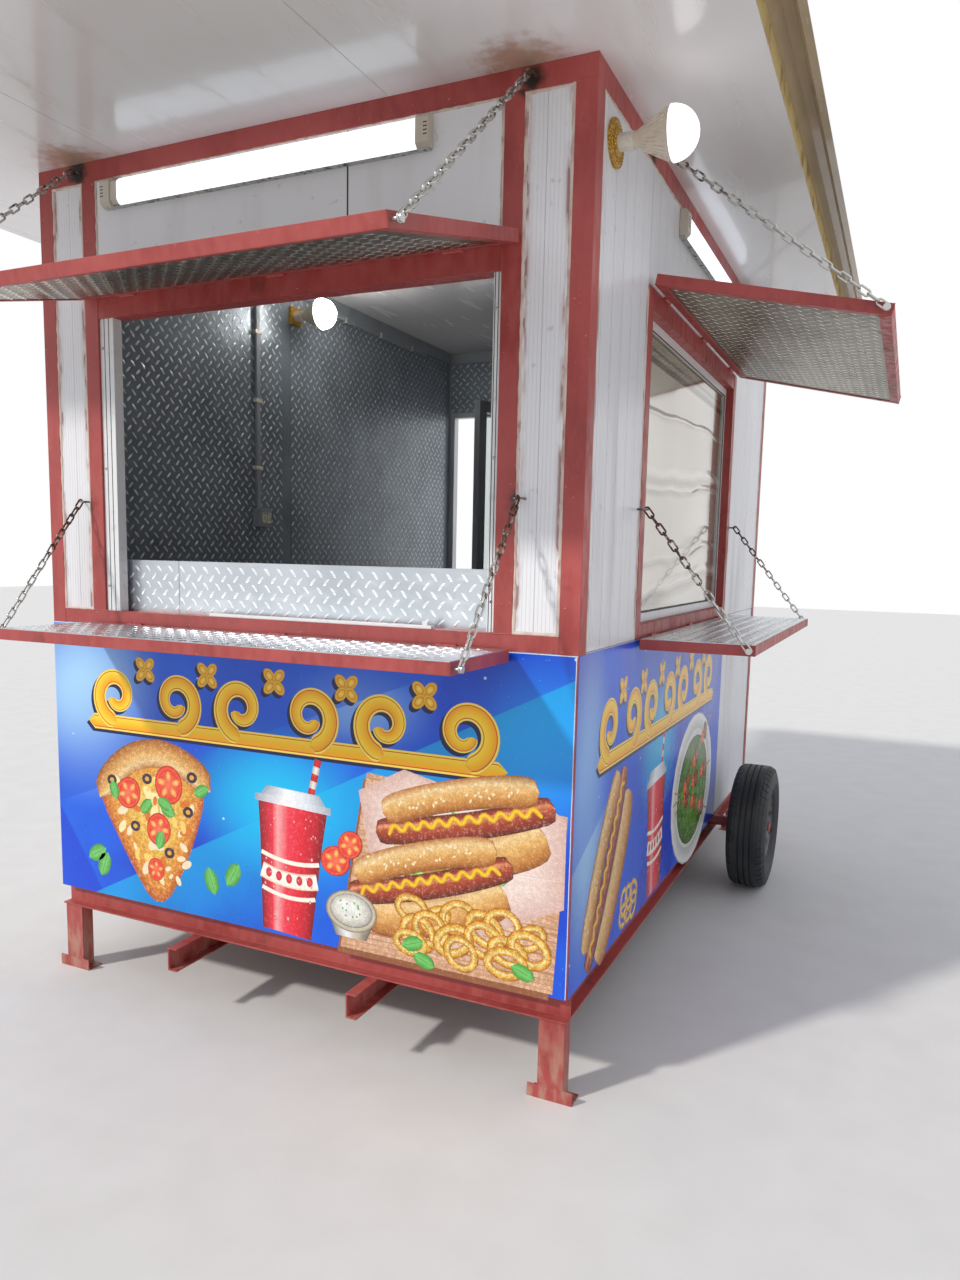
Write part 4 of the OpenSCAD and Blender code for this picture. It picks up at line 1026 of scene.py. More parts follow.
def ornament(art, start, end, low, high, count):
    reach = (high - low) / 2 * 0.70
    step = (end - start) / count
    foot = low + 0.025
    shapes = [([(start, foot), (start + 0.03, foot), (end - 0.03, foot), (end, foot)], 0.028, 0.02)]
    for k in range(count):
        spiral = curl(start + step * (k + 0.5), low + 0.03 + reach, reach, 1 if k % 2 else -1)
        shapes.append((spiral, (0.033, 0.018), 0.05))
    shadow = [(-1.0, NAVY), (1.0, NAVY)]
    for shift, bar, petals in ((SHADOW_SHIFT, shadow, flat(NAVY)), (0.0, GOLD, ROSETTE)):
        for path, wide, taper in shapes:
            art.stroke([(u - shift, v - shift) for u, v in path], wide, bar, taper, grain=0.0)
        for k in range(1, count):
            for angle in (45, 135, 225, 315):
                c, s = turned(angle)
                u = start + step * k + PETAL_REACH * c - shift
                v = high - ROSETTE_DROP + PETAL_REACH * s - shift
                art.disc((u, v, 0.028, 0.019, angle, 16), petals, None, 0.0)


# %% Front print


def print_ink(name, side):
    """Ink whose colour comes from the mesh. The tint's alpha says how much it is mottled."""
    film = Finish(name, 0.26)
    film.colour = film.node("ShaderNodeAttribute", "Color")
    film.colour.socket.node.attribute_name = "tint"
    mottled = Value(film.tree, film.colour.socket.node.outputs["Alpha"])
    light = film.noise(190.0, 5.0) * 0.9 + film.noise(60.0, 4.0) * 0.7
    film.wash(light.step(0.62, 0.98) * mottled * 0.5, 96, 44, 20)
    film.wash(light.step(0.80, 0.5) * mottled * 0.35, 255, 240, 214)
    film_relief(film, film.y if side else film.x)
    return film


ORNAMENT = (0.690, 0.960)
art = Art(on_front)
ornament(art, -0.84, 0.80, *ORNAMENT, 6)
pizza(art.at(-0.52, 0.355, 0.60, 8))
for along, height, turn in ((-0.86, 0.20, 30), (-0.80, 0.14, 70), (-0.27, 0.16, 110), (-0.22, 0.20, 60)):
    leaf(art.at(), along, height, 0.10, turn)
cup(art.at(0.04, 0.352, 0.54, -3))
board(art.at(), [(0.235, 0.082), (0.955, 0.082), (0.985, 0.610), (0.330, 0.660)])
paper = [(0.36, 0.30), (0.62, 0.16), (0.982, 0.34), (0.982, 0.60), (0.88, 0.655), (0.66, 0.64),
         (0.46, 0.685), (0.30, 0.60)]
art.fill(paper, [(0, (255, 244, 236)), (0.7, (246, 222, 210)), (1.0, (222, 184, 170))], None, 0.4)
for first, last in (((0.33, 0.60), (0.60, 0.45)), ((0.66, 0.63), (0.62, 0.45)), ((0.97, 0.42), (0.70, 0.40)),
                    ((0.88, 0.65), (0.80, 0.52)), ((0.40, 0.32), (0.55, 0.40))):
    crease = [first, ((first[0] + last[0]) / 2, (first[1] + last[1]) / 2 + 0.008), last]
    art.stroke(crease, 0.004, [(-1, (214, 178, 166)), (0, (255, 250, 246)), (1, (236, 208, 196))], 0.4)
roll(art.at(0.66, 0.535, 0.56, 14, over=True))
roll(art.at(0.55, 0.335, 0.54, 17, over=True))
bowl(art.at(0.275, 0.205, 0.19, over=True), (240, 238, 226), (206, 196, 170))
tomato(art.at(over=True), 0.215, 0.36, 0.055, 10)
tomato(art, 0.270, 0.42, 0.048, 50)
pile = [(0.50 + 0.075 * (k % 7) + draws.uniform(-0.02, 0.02), 0.255 - 0.055 * (k // 7) - 0.02 * (k % 2),
         draws.uniform(0.046, 0.060), draws.uniform(0.55, 0.95), draws.uniform(-40, 40)) for k in range(21)]
rings(art, [spot for spot in pile if spot[0] < 0.925 and spot[1] > 0.135])
for along, height, turn in ((0.46, 0.13, 20), (0.50, 0.11, -20), (0.90, 0.115, 160)):
    leaf(art, along, height, 0.08, turn)
EDGE_WHITE = [(-1, (232, 238, 244)), (1, (206, 216, 228))]
FILM_TOP, FILM_RIGHT = 1.0615, 0.9945
top = [(-0.999 + 0.0999 * k, FILM_TOP + draws.uniform(-0.0004, 0.0002)) for k in range(21)]
end = [(FILM_RIGHT + draws.uniform(-0.0004, 0.0004), 0.075 + 0.0493 * k) for k in range(21)]
art.at().stroke(top, 0.0014, EDGE_WHITE)
art.stroke(end, 0.0012, EDGE_WHITE)
art.batch.piece("front_print_motifs", "cabin", "vinyl_print", print_ink("front_print_ink", False))

# %% Side print
art = Art(on_side)
ornament(art, 0.20, 1.98, *ORNAMENT, 7)
roll(art.at(0.36, 0.36, 0.62, 58))
rings(art.at(), [(0.56 + 0.06 * (k % 3), 0.13 + 0.045 * (k // 3), 0.045, 0.8, 30 * k) for k in range(6)])
cup(art.at(0.96, 0.352, 0.54, 2))
plate(art.at(1.62, 0.34, 0.66))
for tilt in (-18, 4, 26):
    skewer(art.at(1.62, 0.35 + 0.004 * tilt, 0.60, over=True), tilt)
art.batch.piece("side_print_motifs", "cabin", "vinyl_print", print_ink("side_print_ink", True))

# %% [markdown]
# A lug of chequer plate is a low pointed ridge about as long as two fingers are wide. Rows of lugs lean
# one way and the next rows lean the other. Each lug is six points round its foot and two along its crest,
# and loops set out the rows inside a rectangle that is given by one corner and two directions.

# %% Lugs of the chequer plate
LUG_PITCH, ROW_PITCH = 0.051, 0.027
LUG_LENGTH, LUG_WIDTH, LUG_HEIGHT = 0.034, 0.009, 0.0018
LUG_FACES = [(0, 1, 6), (1, 2, 7, 6), (2, 3, 7), (3, 4, 7), (4, 5, 6, 7), (5, 0, 6)]


def lug(batch, centre, long, wide, out):
    half, quarter = long * LUG_LENGTH / 2, wide * LUG_WIDTH / 2
    foot = [half, half * 0.45 + quarter, -half * 0.45 + quarter, -half, -half * 0.45 - quarter,
            half * 0.45 - quarter]
    crest = [half * 0.5 + out * LUG_HEIGHT, -half * 0.5 + out * LUG_HEIGHT]
    batch.add([centre + offset for offset in foot + crest], LUG_FACES)


def lug_field(batch, corner, along, across, width, height):
    """Alternating rows of lugs on a rectangle. along and across are directions, out is their cross."""
    out = along.cross(across)
    lean = (along + across).normalized(), (along - across).normalized()
    margin = LUG_LENGTH * 0.45
    for row in range(int((height - 2 * margin) / ROW_PITCH) + 1):
        long = lean[row % 2]
        shift = LUG_PITCH / 2 * (row % 2)
        for place in range(int((width - 2 * margin) / LUG_PITCH)):
            start = margin + shift + place * LUG_PITCH
            centre = corner + along * start + across * (margin + row * ROW_PITCH)
            lug(batch, centre, long, out.cross(long), out)


# %% Lugs of the flaps
joints = {joint["name"]: joint for joint in frame["joints"]}
AWNING_LENGTH, COUNTER_LENGTH = 0.710, 0.374
FLANGE, COUNTER_EDGE = 0.034, 0.006
AWNING_START, AWNING_FACE, COUNTER_FACE = 0.045, 0.003, 0.002
FLAPS = {"front_awning": (14.5, False), "side_awning": (12.5, True), "front_counter": (0.0, False),
         "side_counter": (0.0, True)}


def flap(name):
    """Hinge point, and the directions along the hinge, outwards over the flap, and up from it."""
    degrees, side = FLAPS[name]
    slope = math.radians(degrees)
    outward, along = (RIGHT, REAR) if side else (FRONT, RIGHT)
    out = outward * math.cos(slope) - UP * math.sin(slope)
    rise = outward * math.sin(slope) + UP * math.cos(slope)
    return Vector(joints[name + "_fold"]["pos_m"]), along, out, rise


for name in FLAPS:
    hinge, along, out, rise = flap(name)
    lugs = Batch()
    if "awning" in name:
        half = HATCH_HALF - FLANGE
        corner = hinge - along * half + out * AWNING_START + rise * AWNING_FACE
        lug_field(lugs, corner, along, out, 2 * half, AWNING_LENGTH - FLANGE - 0.05)
    else:
        corner = hinge - along * (HATCH_HALF - COUNTER_EDGE) + out * (COUNTER_LENGTH - COUNTER_EDGE)
        corner = corner + rise * COUNTER_FACE
        lug_field(lugs, corner, along, -out, 2 * (HATCH_HALF - COUNTER_EDGE), COUNTER_LENGTH - 0.022)
    # The lug metal is a lighter copy of the plate's metal: a painted highlight.
    metal = weathered_lug_painted_highlight if "awning" in name else bright_lug_painted_highlight
    lugs.piece(name + "_lugs", name, "chequer_plate", metal, smooth=True)

# %% Lugs of the upstand and of the lining
LINING_SEAM = 1.350
LINING_START = 0.06
UPSTAND_BACK, UPSTAND_HEIGHT = 0.058, 0.172
lining_face, rear_face = HALF_WIDTH - LINING_SET, DEPTH - LINING_SET
tall, low_tall = WALL_TOP - FLOOR_TOP, RAIL_FOOT - FLOOR_TOP
doorway_low, doorway_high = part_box("door_frame")
over_door = Vector((doorway_low.x, cabin(0, rear_face, 0).y, doorway_high.z))

upstand, lining = Batch(), Batch()
lug_field(upstand, cabin(-OPENING, UPSTAND_BACK, RAIL_TOP), RIGHT, UP, 2 * OPENING, UPSTAND_HEIGHT)
# The upstand's lugs use a lighter copy of the plate's metal: a painted highlight.
upstand.piece("upstand_lugs", "cabin", "chequer_plate", bright_lug_painted_highlight, smooth=True)
for corner, along, width, height in (
        (cabin(-lining_face, LINING_START, FLOOR_TOP), REAR, LINING_SEAM - LINING_START, tall),
        (cabin(-lining_face, LINING_SEAM + 0.002, FLOOR_TOP), REAR, rear_face - LINING_SEAM - 0.006, tall),
        (cabin(DOOR_RIGHT, rear_face, FLOOR_TOP), RIGHT, lining_face - DOOR_RIGHT, tall),
        (cabin(lining_face, rear_face, FLOOR_TOP), -REAR, rear_face - LINING_START, low_tall),
        (cabin(lining_face, LINING_SET, FLOOR_TOP), -RIGHT, 2 * lining_face, low_tall),
        (over_door, RIGHT, doorway_high.x - doorway_low.x, cabin(0, 0, WALL_TOP).z - over_door.z)):
    lug_field(lining, corner, along, UP, width, height)
# The lining's lugs are much lighter than the painted-shade lining plate: a painted highlight.
lining.piece("lining_lugs", "cabin", "chequer_plate", lining_lug_painted_highlight, smooth=True)

# %% [markdown]
# Where steel meets panel, the gap was run full of sealant by hand. Such a bead is a low round strip that
# swells and thins along its way. A strip of quads with a seeded wobble does it, and the same strip with
# short regular ripples makes a weld bead.

# %% Sealant beads
BEAD_PROFILE = [(-1.0, 0.0), (-0.6, 0.75), (0.0, 1.0), (0.6, 0.75), (1.0, 0.0)]
BEAD_STEP, BEAD_WOBBLE = 0.02, 0.3
RIPPLE_STEP, RIPPLE_LOW = 0.003, 0.72
BEAD_FOOT = RAIL_FOOT + PANEL_SET


def bead(batch, start, end, out, width, height, ripple=False):
    """A half round strip from start to end that stands on the surface whose normal is out."""
    run = end - start
    across = run.normalized().cross(out)
    count = max(2, int(run.length / (RIPPLE_STEP if ripple else BEAD_STEP)))
    points = []
    for step in range(count + 1):
        swell = 1.0 + BEAD_WOBBLE * draws.uniform(-1.0, 1.0)
        if ripple:
            swell = 1.0 if step % 2 else RIPPLE_LOW
        middle = start + run * (step / count)
        points += [middle + across * (side * width / 2 * swell) + out * (lift * height * swell)
                   for side, lift in BEAD_PROFILE]
    size = len(BEAD_PROFILE)
    batch.add(points, [(s * size + k, s * size + k + 1, (s + 1) * size + k + 1, (s + 1) * size + k)
                       for s in range(count) for k in range(size - 1)])


def sealant():
    seal = Finish("sealant", 0.6)
    seal.tone(seal.noise(28.0, 5.0, (1.0, 1.0, 0.4)).step(0.4, 0.7), (214, 198, 184), (194, 160, 148))
    seal.wash(seal.noise(11.0, 5.0).step(0.55, 0.75), 150, 84, 74)
    seal.bump(seal.noise(90.0, 4.0), 0.001)
    return seal


def seal_gap(wall, first, last, width, height=0.0025):
    """Sealant on the panels of the front or of the right side, between two (along, up) places."""
    out = FRONT if wall is on_front else RIGHT
    bead(strip_edges, wall(*first, -PANEL_SET), wall(*last, -PANEL_SET), out, width, height)


strip_edges = Batch()
for flip in (-1, 1):
    for along in (flip * (INNER_POST - 0.004), flip * (HATCH_HALF + 0.004)):
        seal_gap(on_front, (along, RAIL_TOP), (along, WALL_TOP), 0.011, 0.003)
    for height in (RAIL_TOP + 0.004, WALL_TOP - 0.004):
        seal_gap(on_front, (flip * INNER_POST, height), (flip * HATCH_HALF, height), 0.010, 0.003)
    along = flip * (OPENING - 0.004)
    seal_gap(on_front, (along, HEAD_FRONT), (along, WALL_TOP), 0.010, 0.003)
for height in (HEAD_FRONT + 0.003, WALL_TOP - 0.003):
    seal_gap(on_front, (-OPENING, height), (OPENING, height), 0.008)
for along, top in ((POST + 0.003, WALL_TOP), (SIDE_HATCH[0] - 0.003, HEAD_SIDE),
                   (SIDE_HATCH[1] + 0.003, HEAD_SIDE), (DEPTH - POST - 0.003, WALL_TOP)):
    seal_gap(on_side, (along, BEAD_FOOT), (along, top), 0.008)
seal_gap(on_side, (POST, WALL_TOP - 0.003), (DEPTH - POST, WALL_TOP - 0.003), 0.008)
strip_edges.piece("sealant_beads", "cabin", "panel_white", sealant(), smooth=True)

# %% Weld beads on the frame
WELD_WIDTH, WELD_HEIGHT = 0.006, 0.002
HEAD_TALL = 0.065
runs = [((along, height), (along - 0.012, height))
        for along in (HATCH_HALF, OPENING) for height in (RAIL_TOP, WALL_TOP)]
runs += [((OPENING, HEAD_FRONT - HEAD_TALL), (OPENING, HEAD_FRONT)),
         ((OPENING, RAIL_TOP), (HATCH_HALF, RAIL_TOP)),
         ((INNER_POST, RAIL_FOOT), (INNER_POST, RAIL_TOP)),
         ((INNER_POST, WALL_TOP), (HALF_WIDTH, WALL_TOP))]
welds = Batch()
for flip in (-1, 1):
    for first, last in runs:
        ends = [on_front(flip * along, height) for along, height in (first, last)]
        bead(welds, *ends, FRONT, WELD_WIDTH, WELD_HEIGHT, True)
for along in (SIDE_HATCH[0] + JAMB, SIDE_HATCH[1] - JAMB):
    ends = [on_side(along, height) for height in (HEAD_SIDE - HEAD_TALL, HEAD_SIDE)]
    bead(welds, *ends, RIGHT, WELD_WIDTH, WELD_HEIGHT, True)
welds.piece("weld_beads", "cabin", "steel_paint", steel, smooth=True)

# %% [markdown]
# Small fasteners tell the eye how big things are. One function stacks rings round a direction into a
# solid, and screw heads, nuts, valves and pressed dots are all made by it. Window rails, the switch box
# and the roof get screws with a washer under a domed head.

# %% Screw heads


def ring(centre, out, radius, count, lift=0.0):
    """Points of a circle round a direction, lifted along it."""
    side = out.orthogonal().normalized()
    other = out.cross(side)
    angles = [2 * math.pi * step / count for step in range(count)]
    return [centre + out * lift + (side * math.cos(a) + other * math.sin(a)) * radius for a in angles]


def stack(batch, centre, out, count, *rings):
    """Joins rings, each a radius and a lift, into a skin, and closes the last one."""
    points = [point for radius, lift in rings for point in ring(centre, out, radius, count, lift)]
    faces = [(low + k, low + (k + 1) % count, low + count + (k + 1) % count, low + count + k)
             for low in range(0, len(points) - count, count) for k in range(count)]
    batch.add(points, faces + [tuple(range(len(points) - count, len(points)))])


def screw(centre, out, radius):
    washer = ((radius * 1.7, 0.0), (radius * 1.6, radius * 0.25))
    stack(screws, centre, out, 10, *washer, (radius, radius * 0.3), (radius * 0.75, radius * 0.9))


def fastener_steel():
    return worn("fastener_steel", 0.35, 0.85, (80.0, 5.0, 0.5, 0.72), (184, 182, 178), (118, 84, 60),
                (400.0, 2.0, 0.0002))


screws = Batch()
for height in (1.20, 1.60, 2.00):
    for flip in (-1, 1):
        screw(on_front(flip * (OPENING - 0.012), height, -PROFILE_SET), FRONT, 0.003)
for along in (-0.15, 0.02, 0.19):
    screw(on_front(HATCH_HALF - 1.5 + along * 2, RAIL_TOP + 0.010, -0.020), UP, 0.0025)
RIBS, FOAM_THICK, RIB_HEIGHT = 12, 0.062, 0.034
foam_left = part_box("roof_foam")[0].x
for rib in range(RIBS):
    for depth in (-0.8, 0.03, 1.55, DEPTH - 0.03):
        top = cabin(0, depth, ROOF_LINE + FOAM_THICK + RIB_HEIGHT)
        top.x = foam_left + (foam_high.x - foam_left) / RIBS * (rib + 0.5)
        screw(top, UP, 0.005)
SWITCH_Y = 1.102
for height in (1.459, 1.506):
    screw(cabin(-HALF_WIDTH + 0.100, SWITCH_Y, height), RIGHT, 0.003)
screws.piece("screw_heads", "cabin", "zinc_steel", fastener_steel(), smooth=True)

# %% [markdown]
# Rubber seals line the glass, and each lamp sits on a tray that shows as a thin dark line under it. These
# are long thin boxes. The door's own seal has to ride on the door, so it is a piece apart from the others.

# %% Seals, trays and slots


def slab(batch, low, high):
    """Box between two corners."""
    xs, ys, zs = zip(low, high)
    points = [(x, y, z) for z in zs for y in ys for x in xs]
    batch.add(points, [(0, 2, 3, 1), (4, 5, 7, 6), (0, 1, 5, 4), (2, 6, 7, 3), (0, 4, 6, 2), (1, 3, 7, 5)])


def pane_seal(batch, pane, normal, near, far, wide):
    """Four strips round a pane. normal is the axis across it, and near and far bound the strips there."""
    for axis in (1 - normal, 2):
        for start in (pane[0][axis], pane[1][axis] - wide):
            low, high = list(pane[0]), list(pane[1])
            low[normal], high[normal] = near, far
            low[axis], high[axis] = start, start + wide
            slab(batch, low, high)


seals_and_slot_shade = Batch()
for along in (OPENING - 0.020, OPENING - 0.010, -OPENING + 0.020, -OPENING + 0.040):
    low = on_front(along - 0.001, RAIL_TOP + 0.001, -0.0082)
    slab(seals_and_slot_shade, low, on_front(along + 0.001, 2.096, -0.0070))
face = cabin(HALF_WIDTH - 0.034, 0, 0).x
pane_seal(seals_and_slot_shade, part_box("side_window_glass"), 0, face - 0.0002, face + 0.0015, 0.004)
HEAD_SEAM = 0.2495
low = on_front(HEAD_SEAM - 0.0025, HEAD_FRONT, -0.0035)
slab(seals_and_slot_shade, low, on_front(HEAD_SEAM + 0.0025, WALL_TOP, -0.0024))

LAMP_GAP, LAMP_TALL, LAMP_DEEP, TRAY_DEEP = 0.010, 0.090, 0.032, 0.020
lamp_foot = cabin(0, 0, WALL_TOP - LAMP_GAP - LAMP_TALL).z
front_face, side_face = posts_low.y + PANEL_SET, cabin(HALF_WIDTH - PANEL_SET, 0, 0).x
half_tray = LAMP_LENGTH / 2 - 0.004
trays = Batch()
slab(trays, (FRONT_LAMP_X - half_tray, front_face - TRAY_DEEP, lamp_foot - 0.0025),
     (FRONT_LAMP_X + half_tray, front_face, lamp_foot - 0.0005))
slab(trays, (side_face, SIDE_LAMP_Y - half_tray, lamp_foot - 0.0025),
     (side_face + TRAY_DEEP, SIDE_LAMP_Y + half_tray, lamp_foot - 0.0005))
trays.piece("lamp_trays", "cabin", "lamp_diffuser", zinc("tray_zinc", 1.0, 0.0, 0.3, 0.3))
# The slots in the lamp end caps are thin dark rubber slabs: painted shade for their openings.
for flip in (-1, 1):
    for slot in range(4):
        x, y = [middle + flip * (LAMP_LENGTH / 2 - 0.010) for middle in (FRONT_LAMP_X, SIDE_LAMP_Y)]
        z = lamp_foot + 0.030 + slot * 0.010
        front_cap = front_face - LAMP_DEEP
        slab(seals_and_slot_shade, (x - 0.006, front_cap - 0.0004, z), (x + 0.006, front_cap + 0.0004, z + 0.003))
        slab(seals_and_slot_shade, (side_face + 0.0316, y - 0.006, z), (side_face + 0.0324, y + 0.006, z + 0.003))
rubber_seal_and_slot_shade = worn("seal_rubber_and_slot_shade", 0.6, 0.0, (40.0, 3.0), (30, 30, 32), (58, 56, 54), (300.0, 2.0, 0.0002))
seals_and_slot_shade.piece("dark_seals_and_slot_shade", "cabin", "tyre_rubber", rubber_seal_and_slot_shade)

TRIM_BACK, TRIM_FACE = LINING_SET + 0.0001, POST + 0.0015
TRIM_TOP, TRIM_SPLIT = ROOF_LINE - 0.001, WALL_TOP - 0.001
trim_ends = ((TRIM_BACK, TRIM_FACE), (DEPTH - TRIM_FACE, DEPTH - TRIM_BACK))
trims = Batch()
for flip in (-1, 1):
    near, far = sorted((flip * (HALF_WIDTH - TRIM_BACK), flip * (HALF_WIDTH - TRIM_FACE)))
    slab(trims, cabin(near, TRIM_FACE, TRIM_SPLIT), cabin(far, DEPTH - TRIM_FACE, TRIM_TOP))
    for front, back in trim_ends:
        slab(trims, cabin(near, front, FLOOR_TOP), cabin(far, back, TRIM_SPLIT))
for front, back in trim_ends:
    low = cabin(-HALF_WIDTH + TRIM_BACK, front, TRIM_SPLIT)
    slab(trims, low, cabin(HALF_WIDTH - TRIM_BACK, back, TRIM_TOP))
trims.piece("beam_trims", "cabin", "conduit_plastic", trunking)

door_seals = Batch()
glass_low, glass_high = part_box("rear_door_glass")
leaf_front = (glass_low.y + glass_high.y) / 2 - 0.020
for y in (leaf_front - 0.0012, leaf_front + 0.0392):
    pane_seal(door_seals, (glass_low, glass_high), 1, y, y + 0.002, 0.005)
door_seals.piece("door_seals", "rear_door", "tyre_rubber", rubber_seal_and_slot_shade)

# %% [markdown]
# The bulbs cool themselves with fins, the gold rose is pressed with dots, and the switch box has two
# rockers. Fins and dots stand round an axis that points out of the wall, so a loop over angles sets them.

# %% Bulb fins, rose dots, rockers and clips
FINS = 30
FIN_FACES = [(0, 4, 7, 3), (1, 2, 6, 5), (4, 5, 6, 7), (2, 3, 7, 6), (0, 1, 5, 4)]
fins, dots, fittings = Batch(), Batch(), Batch()
for base_x, along in ((BULB_OUT, BULB_OUT_Y), (BULB_IN, BULB_IN_Y)):
    neck = cabin(base_x + 0.056, along, BULB_HEIGHT)
    for step in range(FINS):
        angle = 2 * math.pi * step / FINS
        radial = Vector((0, math.cos(angle), math.sin(angle)))
        side = RIGHT.cross(radial) * 0.0012
        inner, outer = neck + RIGHT * 0.016 + radial * 0.0245, neck + RIGHT * 0.092 + radial * 0.0615
        lift = radial * 0.0045
        foot = [inner - side, inner + side, outer + side, outer - side]
        crest = [inner - side * 0.4 + lift * 0.4, inner + side * 0.4 + lift * 0.4,
                 outer + side * 0.4 + lift, outer - side * 0.4 + lift]
        fins.add(foot + crest, FIN_FACES)
rose_middle = cabin(BULB_OUT, BULB_OUT_Y, BULB_HEIGHT)
for radius, count, lift in ((0.058, 34, 0.008), (0.0455, 26, 0.0075), (0.0375, 22, 0.011)):
    for centre in ring(rose_middle, RIGHT, radius, count, lift):
        stack(dots, centre, RIGHT, 7, (0.0032, 0.0), (0.0024, 0.002), (0.0008, 0.0028))
cream = worn("fin_plastic", 0.45, 0.0, (50.0, 4.0, 0.4, 0.8), (228, 222, 208), (178, 160, 130),
             (300.0, 2.0, 0.0001))
fins.piece("bulb_fins", "cabin", "lamp_diffuser", cream)
dots.piece("rose_dots", "cabin", "rose_gold", brass, smooth=True)

SWITCH_FRONT = cabin(-HALF_WIDTH + LINING_SET, 0, 0).x + 0.045
ROCKER = [(0.0, -0.013, -0.024), (0.0, 0.013, -0.024), (0.0, 0.013, 0.024), (0.0, -0.013, 0.024),
          (0.003, -0.012, -0.022), (0.003, 0.012, -0.022), (0.008, 0.012, 0.022), (0.008, -0.012, 0.022)]
for flip in (-1, 1):
    middle = (SWITCH_FRONT, cabin(0, SWITCH_Y + flip * 0.017, 0).y, cabin(0, 0, 1.4825).z)
    fittings.add([[a + b for a, b in zip(middle, corner)] for corner in ROCKER],
                 [(0, 1, 5, 4), (1, 2, 6, 5), (2, 3, 7, 6), (3, 0, 4, 7), (4, 5, 6, 7)])
clips = [((1.070, height), (0.019, 0.045, 0.016)) for height in (1.70, 2.00, 2.30)]
clips += [((along, WALL_TOP - 0.028), (0.019, 0.016, 0.026)) for along in (1.80, 2.15, 2.50)]
for place, size in clips:
    low = cabin(-HALF_WIDTH + LINING_SET, *place)
    slab(fittings, low, low + Vector(size))
fittings.piece("rockers_and_clips", "cabin", "conduit_plastic", cream)

# %% [markdown]
# Wheels need nuts, a valve and blocks on the tyre's shoulders. All of them stand round the axle, so one
# function places a small solid at an angle, a radius and a distance along the axle. Each wheel's pieces
# ride on that wheel, because they have to turn with it.

# %% Wheel nuts, valves and tread blocks
NUT_COUNT, NUT_CIRCLE = 5, 0.080
BLOCKS = 46
TYRE_RADIUS = 0.294
BLOCK_TOP = [(0.049, TYRE_RADIUS - 0.0016), (0.060, 0.2922), (0.078, 0.2810), (0.084, 0.2640)]
BLOCK_FOOT = [(0.049, 0.2915), (0.060, 0.2890), (0.078, 0.2755), (0.084, 0.2600)]
BLOCK_FACES = [face for low in (0, 2, 4) for face in ((low + 8, low + 9, low + 11, low + 10),
                                                      (low, low + 2, low + 10, low + 8),
                                                      (low + 1, low + 9, low + 11, low + 3))]
BLOCK_FACES += [(0, 8, 9, 1), (6, 7, 15, 14)]


def around(centre, angle, radius, along):
    return centre + Vector((along, radius * math.cos(angle), radius * math.sin(angle)))


def dress_wheel(side, body):
    tyre_low, tyre_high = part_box("tyre_right" if side > 0 else "tyre_left")
    centre = (tyre_low + tyre_high) / 2
    out = Vector((side, 0, 0))
    nuts, tread = Batch(), Batch()
    for step in range(NUT_COUNT):
        foot = around(centre, 2 * math.pi * (step + 0.25) / NUT_COUNT, NUT_CIRCLE, side * 0.020)
        stack(nuts, foot, out, 12, (0.0125, 0.0), (0.0125, 0.003))
        stack(nuts, foot, out, 6, (0.0105, 0.0), (0.0105, 0.014))
        stack(nuts, foot, out, 8, (0.006, 0.013), (0.0055, 0.022))
    nuts.piece(body + "_nuts", body, "zinc_steel", wheel_nut_steel)
    valve = around(centre, 0.6, 0.128, side * 0.018)
    stack(tread, valve, out, 8, (0.005, 0.0), (0.004, 0.022), (0.005, 0.023), (0.005, 0.032))
    for flank in (-1, 1):
        for block in range(BLOCKS):
            middle = 2 * math.pi * (block + 0.25 * flank) / BLOCKS
            tread.add([around(centre, middle + edge * 2 * math.pi / BLOCKS, radius, flank * along)
                       for along, radius in BLOCK_FOOT + BLOCK_TOP for edge in (-0.32, 0.32)], BLOCK_FACES)
    tread.piece(body + "_tread", body, "tyre_rubber", rubber)


wheel_nut_steel = fastener_steel()
dress_wheel(-1, "wheel_left")
dress_wheel(1, "wheel_right")

# %% [markdown]
# The flaps were welded at their mitred corners and painted over. Short rippled beads across each corner
# show that. They are made from the hinge line and the flap's directions, and ride on the flap.

# %% Welds of the flaps
FLAP_WELD = (0.005, 0.0012)
for name in FLAPS:
    hinge, along, out, rise = flap(name)
    awning = "awning" in name
    length, low = (AWNING_LENGTH, 0.0) if awning else (COUNTER_LENGTH, -FLANGE)
    corner_welds = Batch()
    for flip in (-1, 1):
        corner = hinge + along * flip * HATCH_HALF + out * length
        diagonal = (out + along * flip).normalized()
        ends = corner + rise * low, corner + rise * (low + FLANGE)
        bead(corner_welds, *ends, diagonal, *FLAP_WELD, True)
        if awning:
            inner = corner - (along * flip + out) * FLANGE
            bead(corner_welds, corner, inner, -rise, *FLAP_WELD, True)
    corner_welds.piece(name + "_welds", name, "steel_paint", steel, smooth=True)

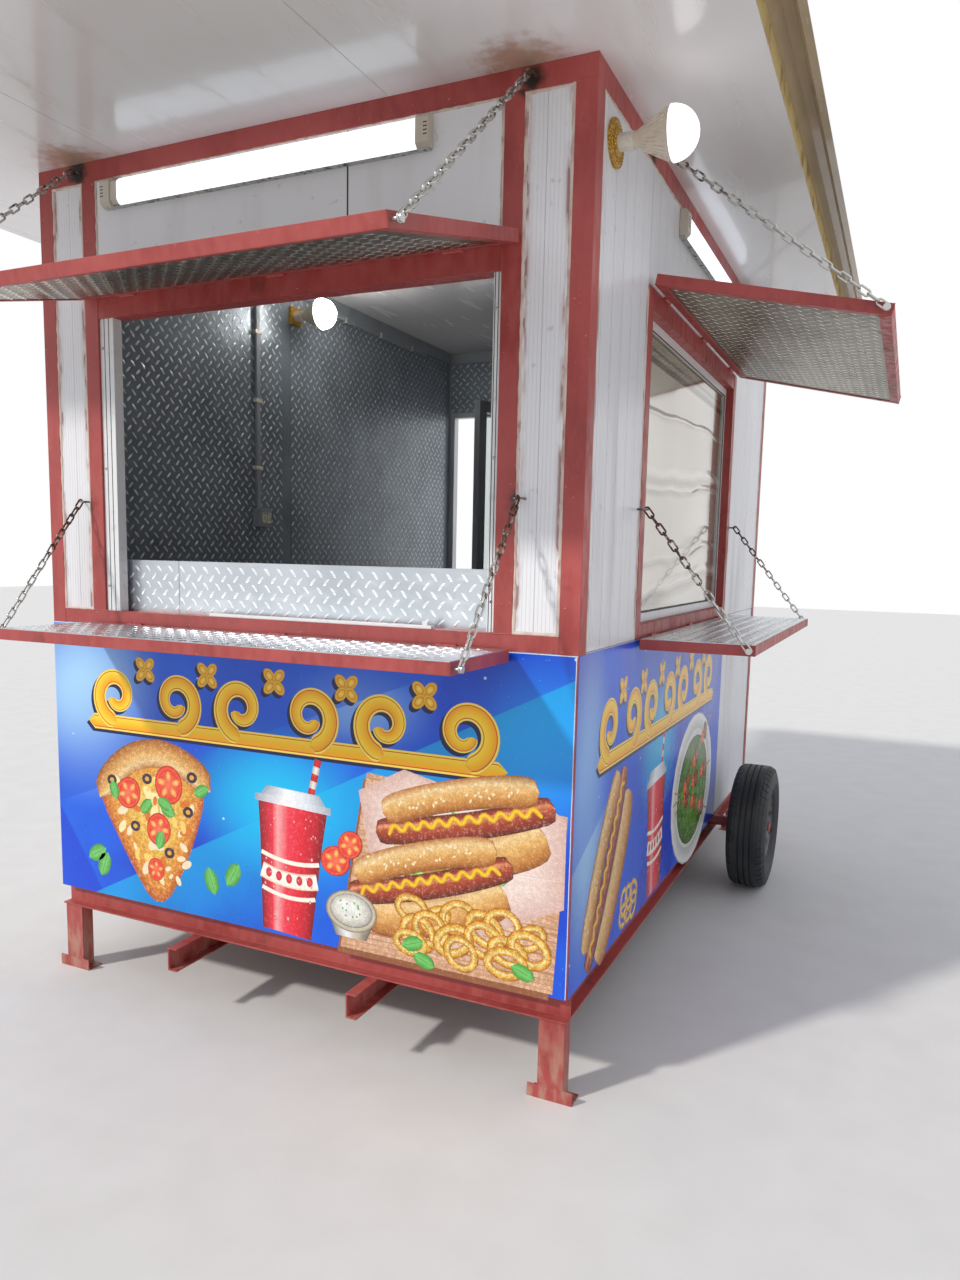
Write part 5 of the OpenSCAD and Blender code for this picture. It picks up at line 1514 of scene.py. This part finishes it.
# %% [markdown]
# The camera would see through to nothing without a floor and light. A pale floor takes the shadow, one
# broad lamp stands where the sun stood, and the world fills the shade. The world looks white to the
# camera and in reflections, but lights the object at a lower level, so that colours come out as written.

# %% Floor, lamp and world
FLOOR_SIZE = 30.0
floor_mesh = bpy.data.meshes.new("floor")
corners = ((-1, -1), (1, -1), (1, 1), (-1, 1))
floor_mesh.from_pydata([(x * FLOOR_SIZE, y * FLOOR_SIZE, cad_low.z) for x, y in corners], [], [(0, 1, 2, 3)])
floor = bpy.data.objects.new("floor", floor_mesh)
bpy.context.scene.collection.objects.link(floor)
floor_finish = worn("pale_floor", 0.8, 0.0, (6.0, 5.0), (228, 226, 222), (216, 213, 208))
floor_mesh.materials.append(floor_finish.material)

SUN_FROM = Vector((-0.55, -0.80, 0.72))
SUN_STRENGTH, SUN_WIDTH, WORLD_STRENGTH = 2.15, 4, 0.75
sun_data = bpy.data.lights.new("soft_sun", "SUN")
sun_data.energy = SUN_STRENGTH
sun_data.angle = math.radians(SUN_WIDTH)
sun_data.color = (1.0, 0.97, 0.93)
sun = bpy.data.objects.new("soft_sun", sun_data)
sun.rotation_mode = "QUATERNION"
sun.rotation_quaternion = SUN_FROM.to_track_quat("Z", "Y")
bpy.context.scene.collection.objects.link(sun)

world = bpy.data.worlds.new("pale_room")
world.use_nodes = True
bpy.context.scene.world = world
tree = world.node_tree
tree.nodes.clear()
path = tree.nodes.new("ShaderNodeLightPath")
camera_ray, glossy_ray, clear_ray = (Value(tree, path.outputs["Is " + kind + " Ray"])
                                     for kind in ("Camera", "Glossy", "Transmission"))
either = tree.nodes.new("ShaderNodeMixShader")
feed(tree, either.inputs[0], camera_ray.most(glossy_ray).most(clear_ray))
for place, colour, strength in ((1, ink(236, 242, 255), WORLD_STRENGTH), (2, (1.0, 1.0, 1.0, 1.0), 1.0)):
    light = tree.nodes.new("ShaderNodeBackground")
    light.inputs["Color"].default_value = colour
    light.inputs["Strength"].default_value = strength
    tree.links.new(light.outputs[0], either.inputs[place])
tree.links.new(either.outputs[0], tree.nodes.new("ShaderNodeOutputWorld").inputs["Surface"])
bpy.context.scene.view_settings.view_transform = "Standard"
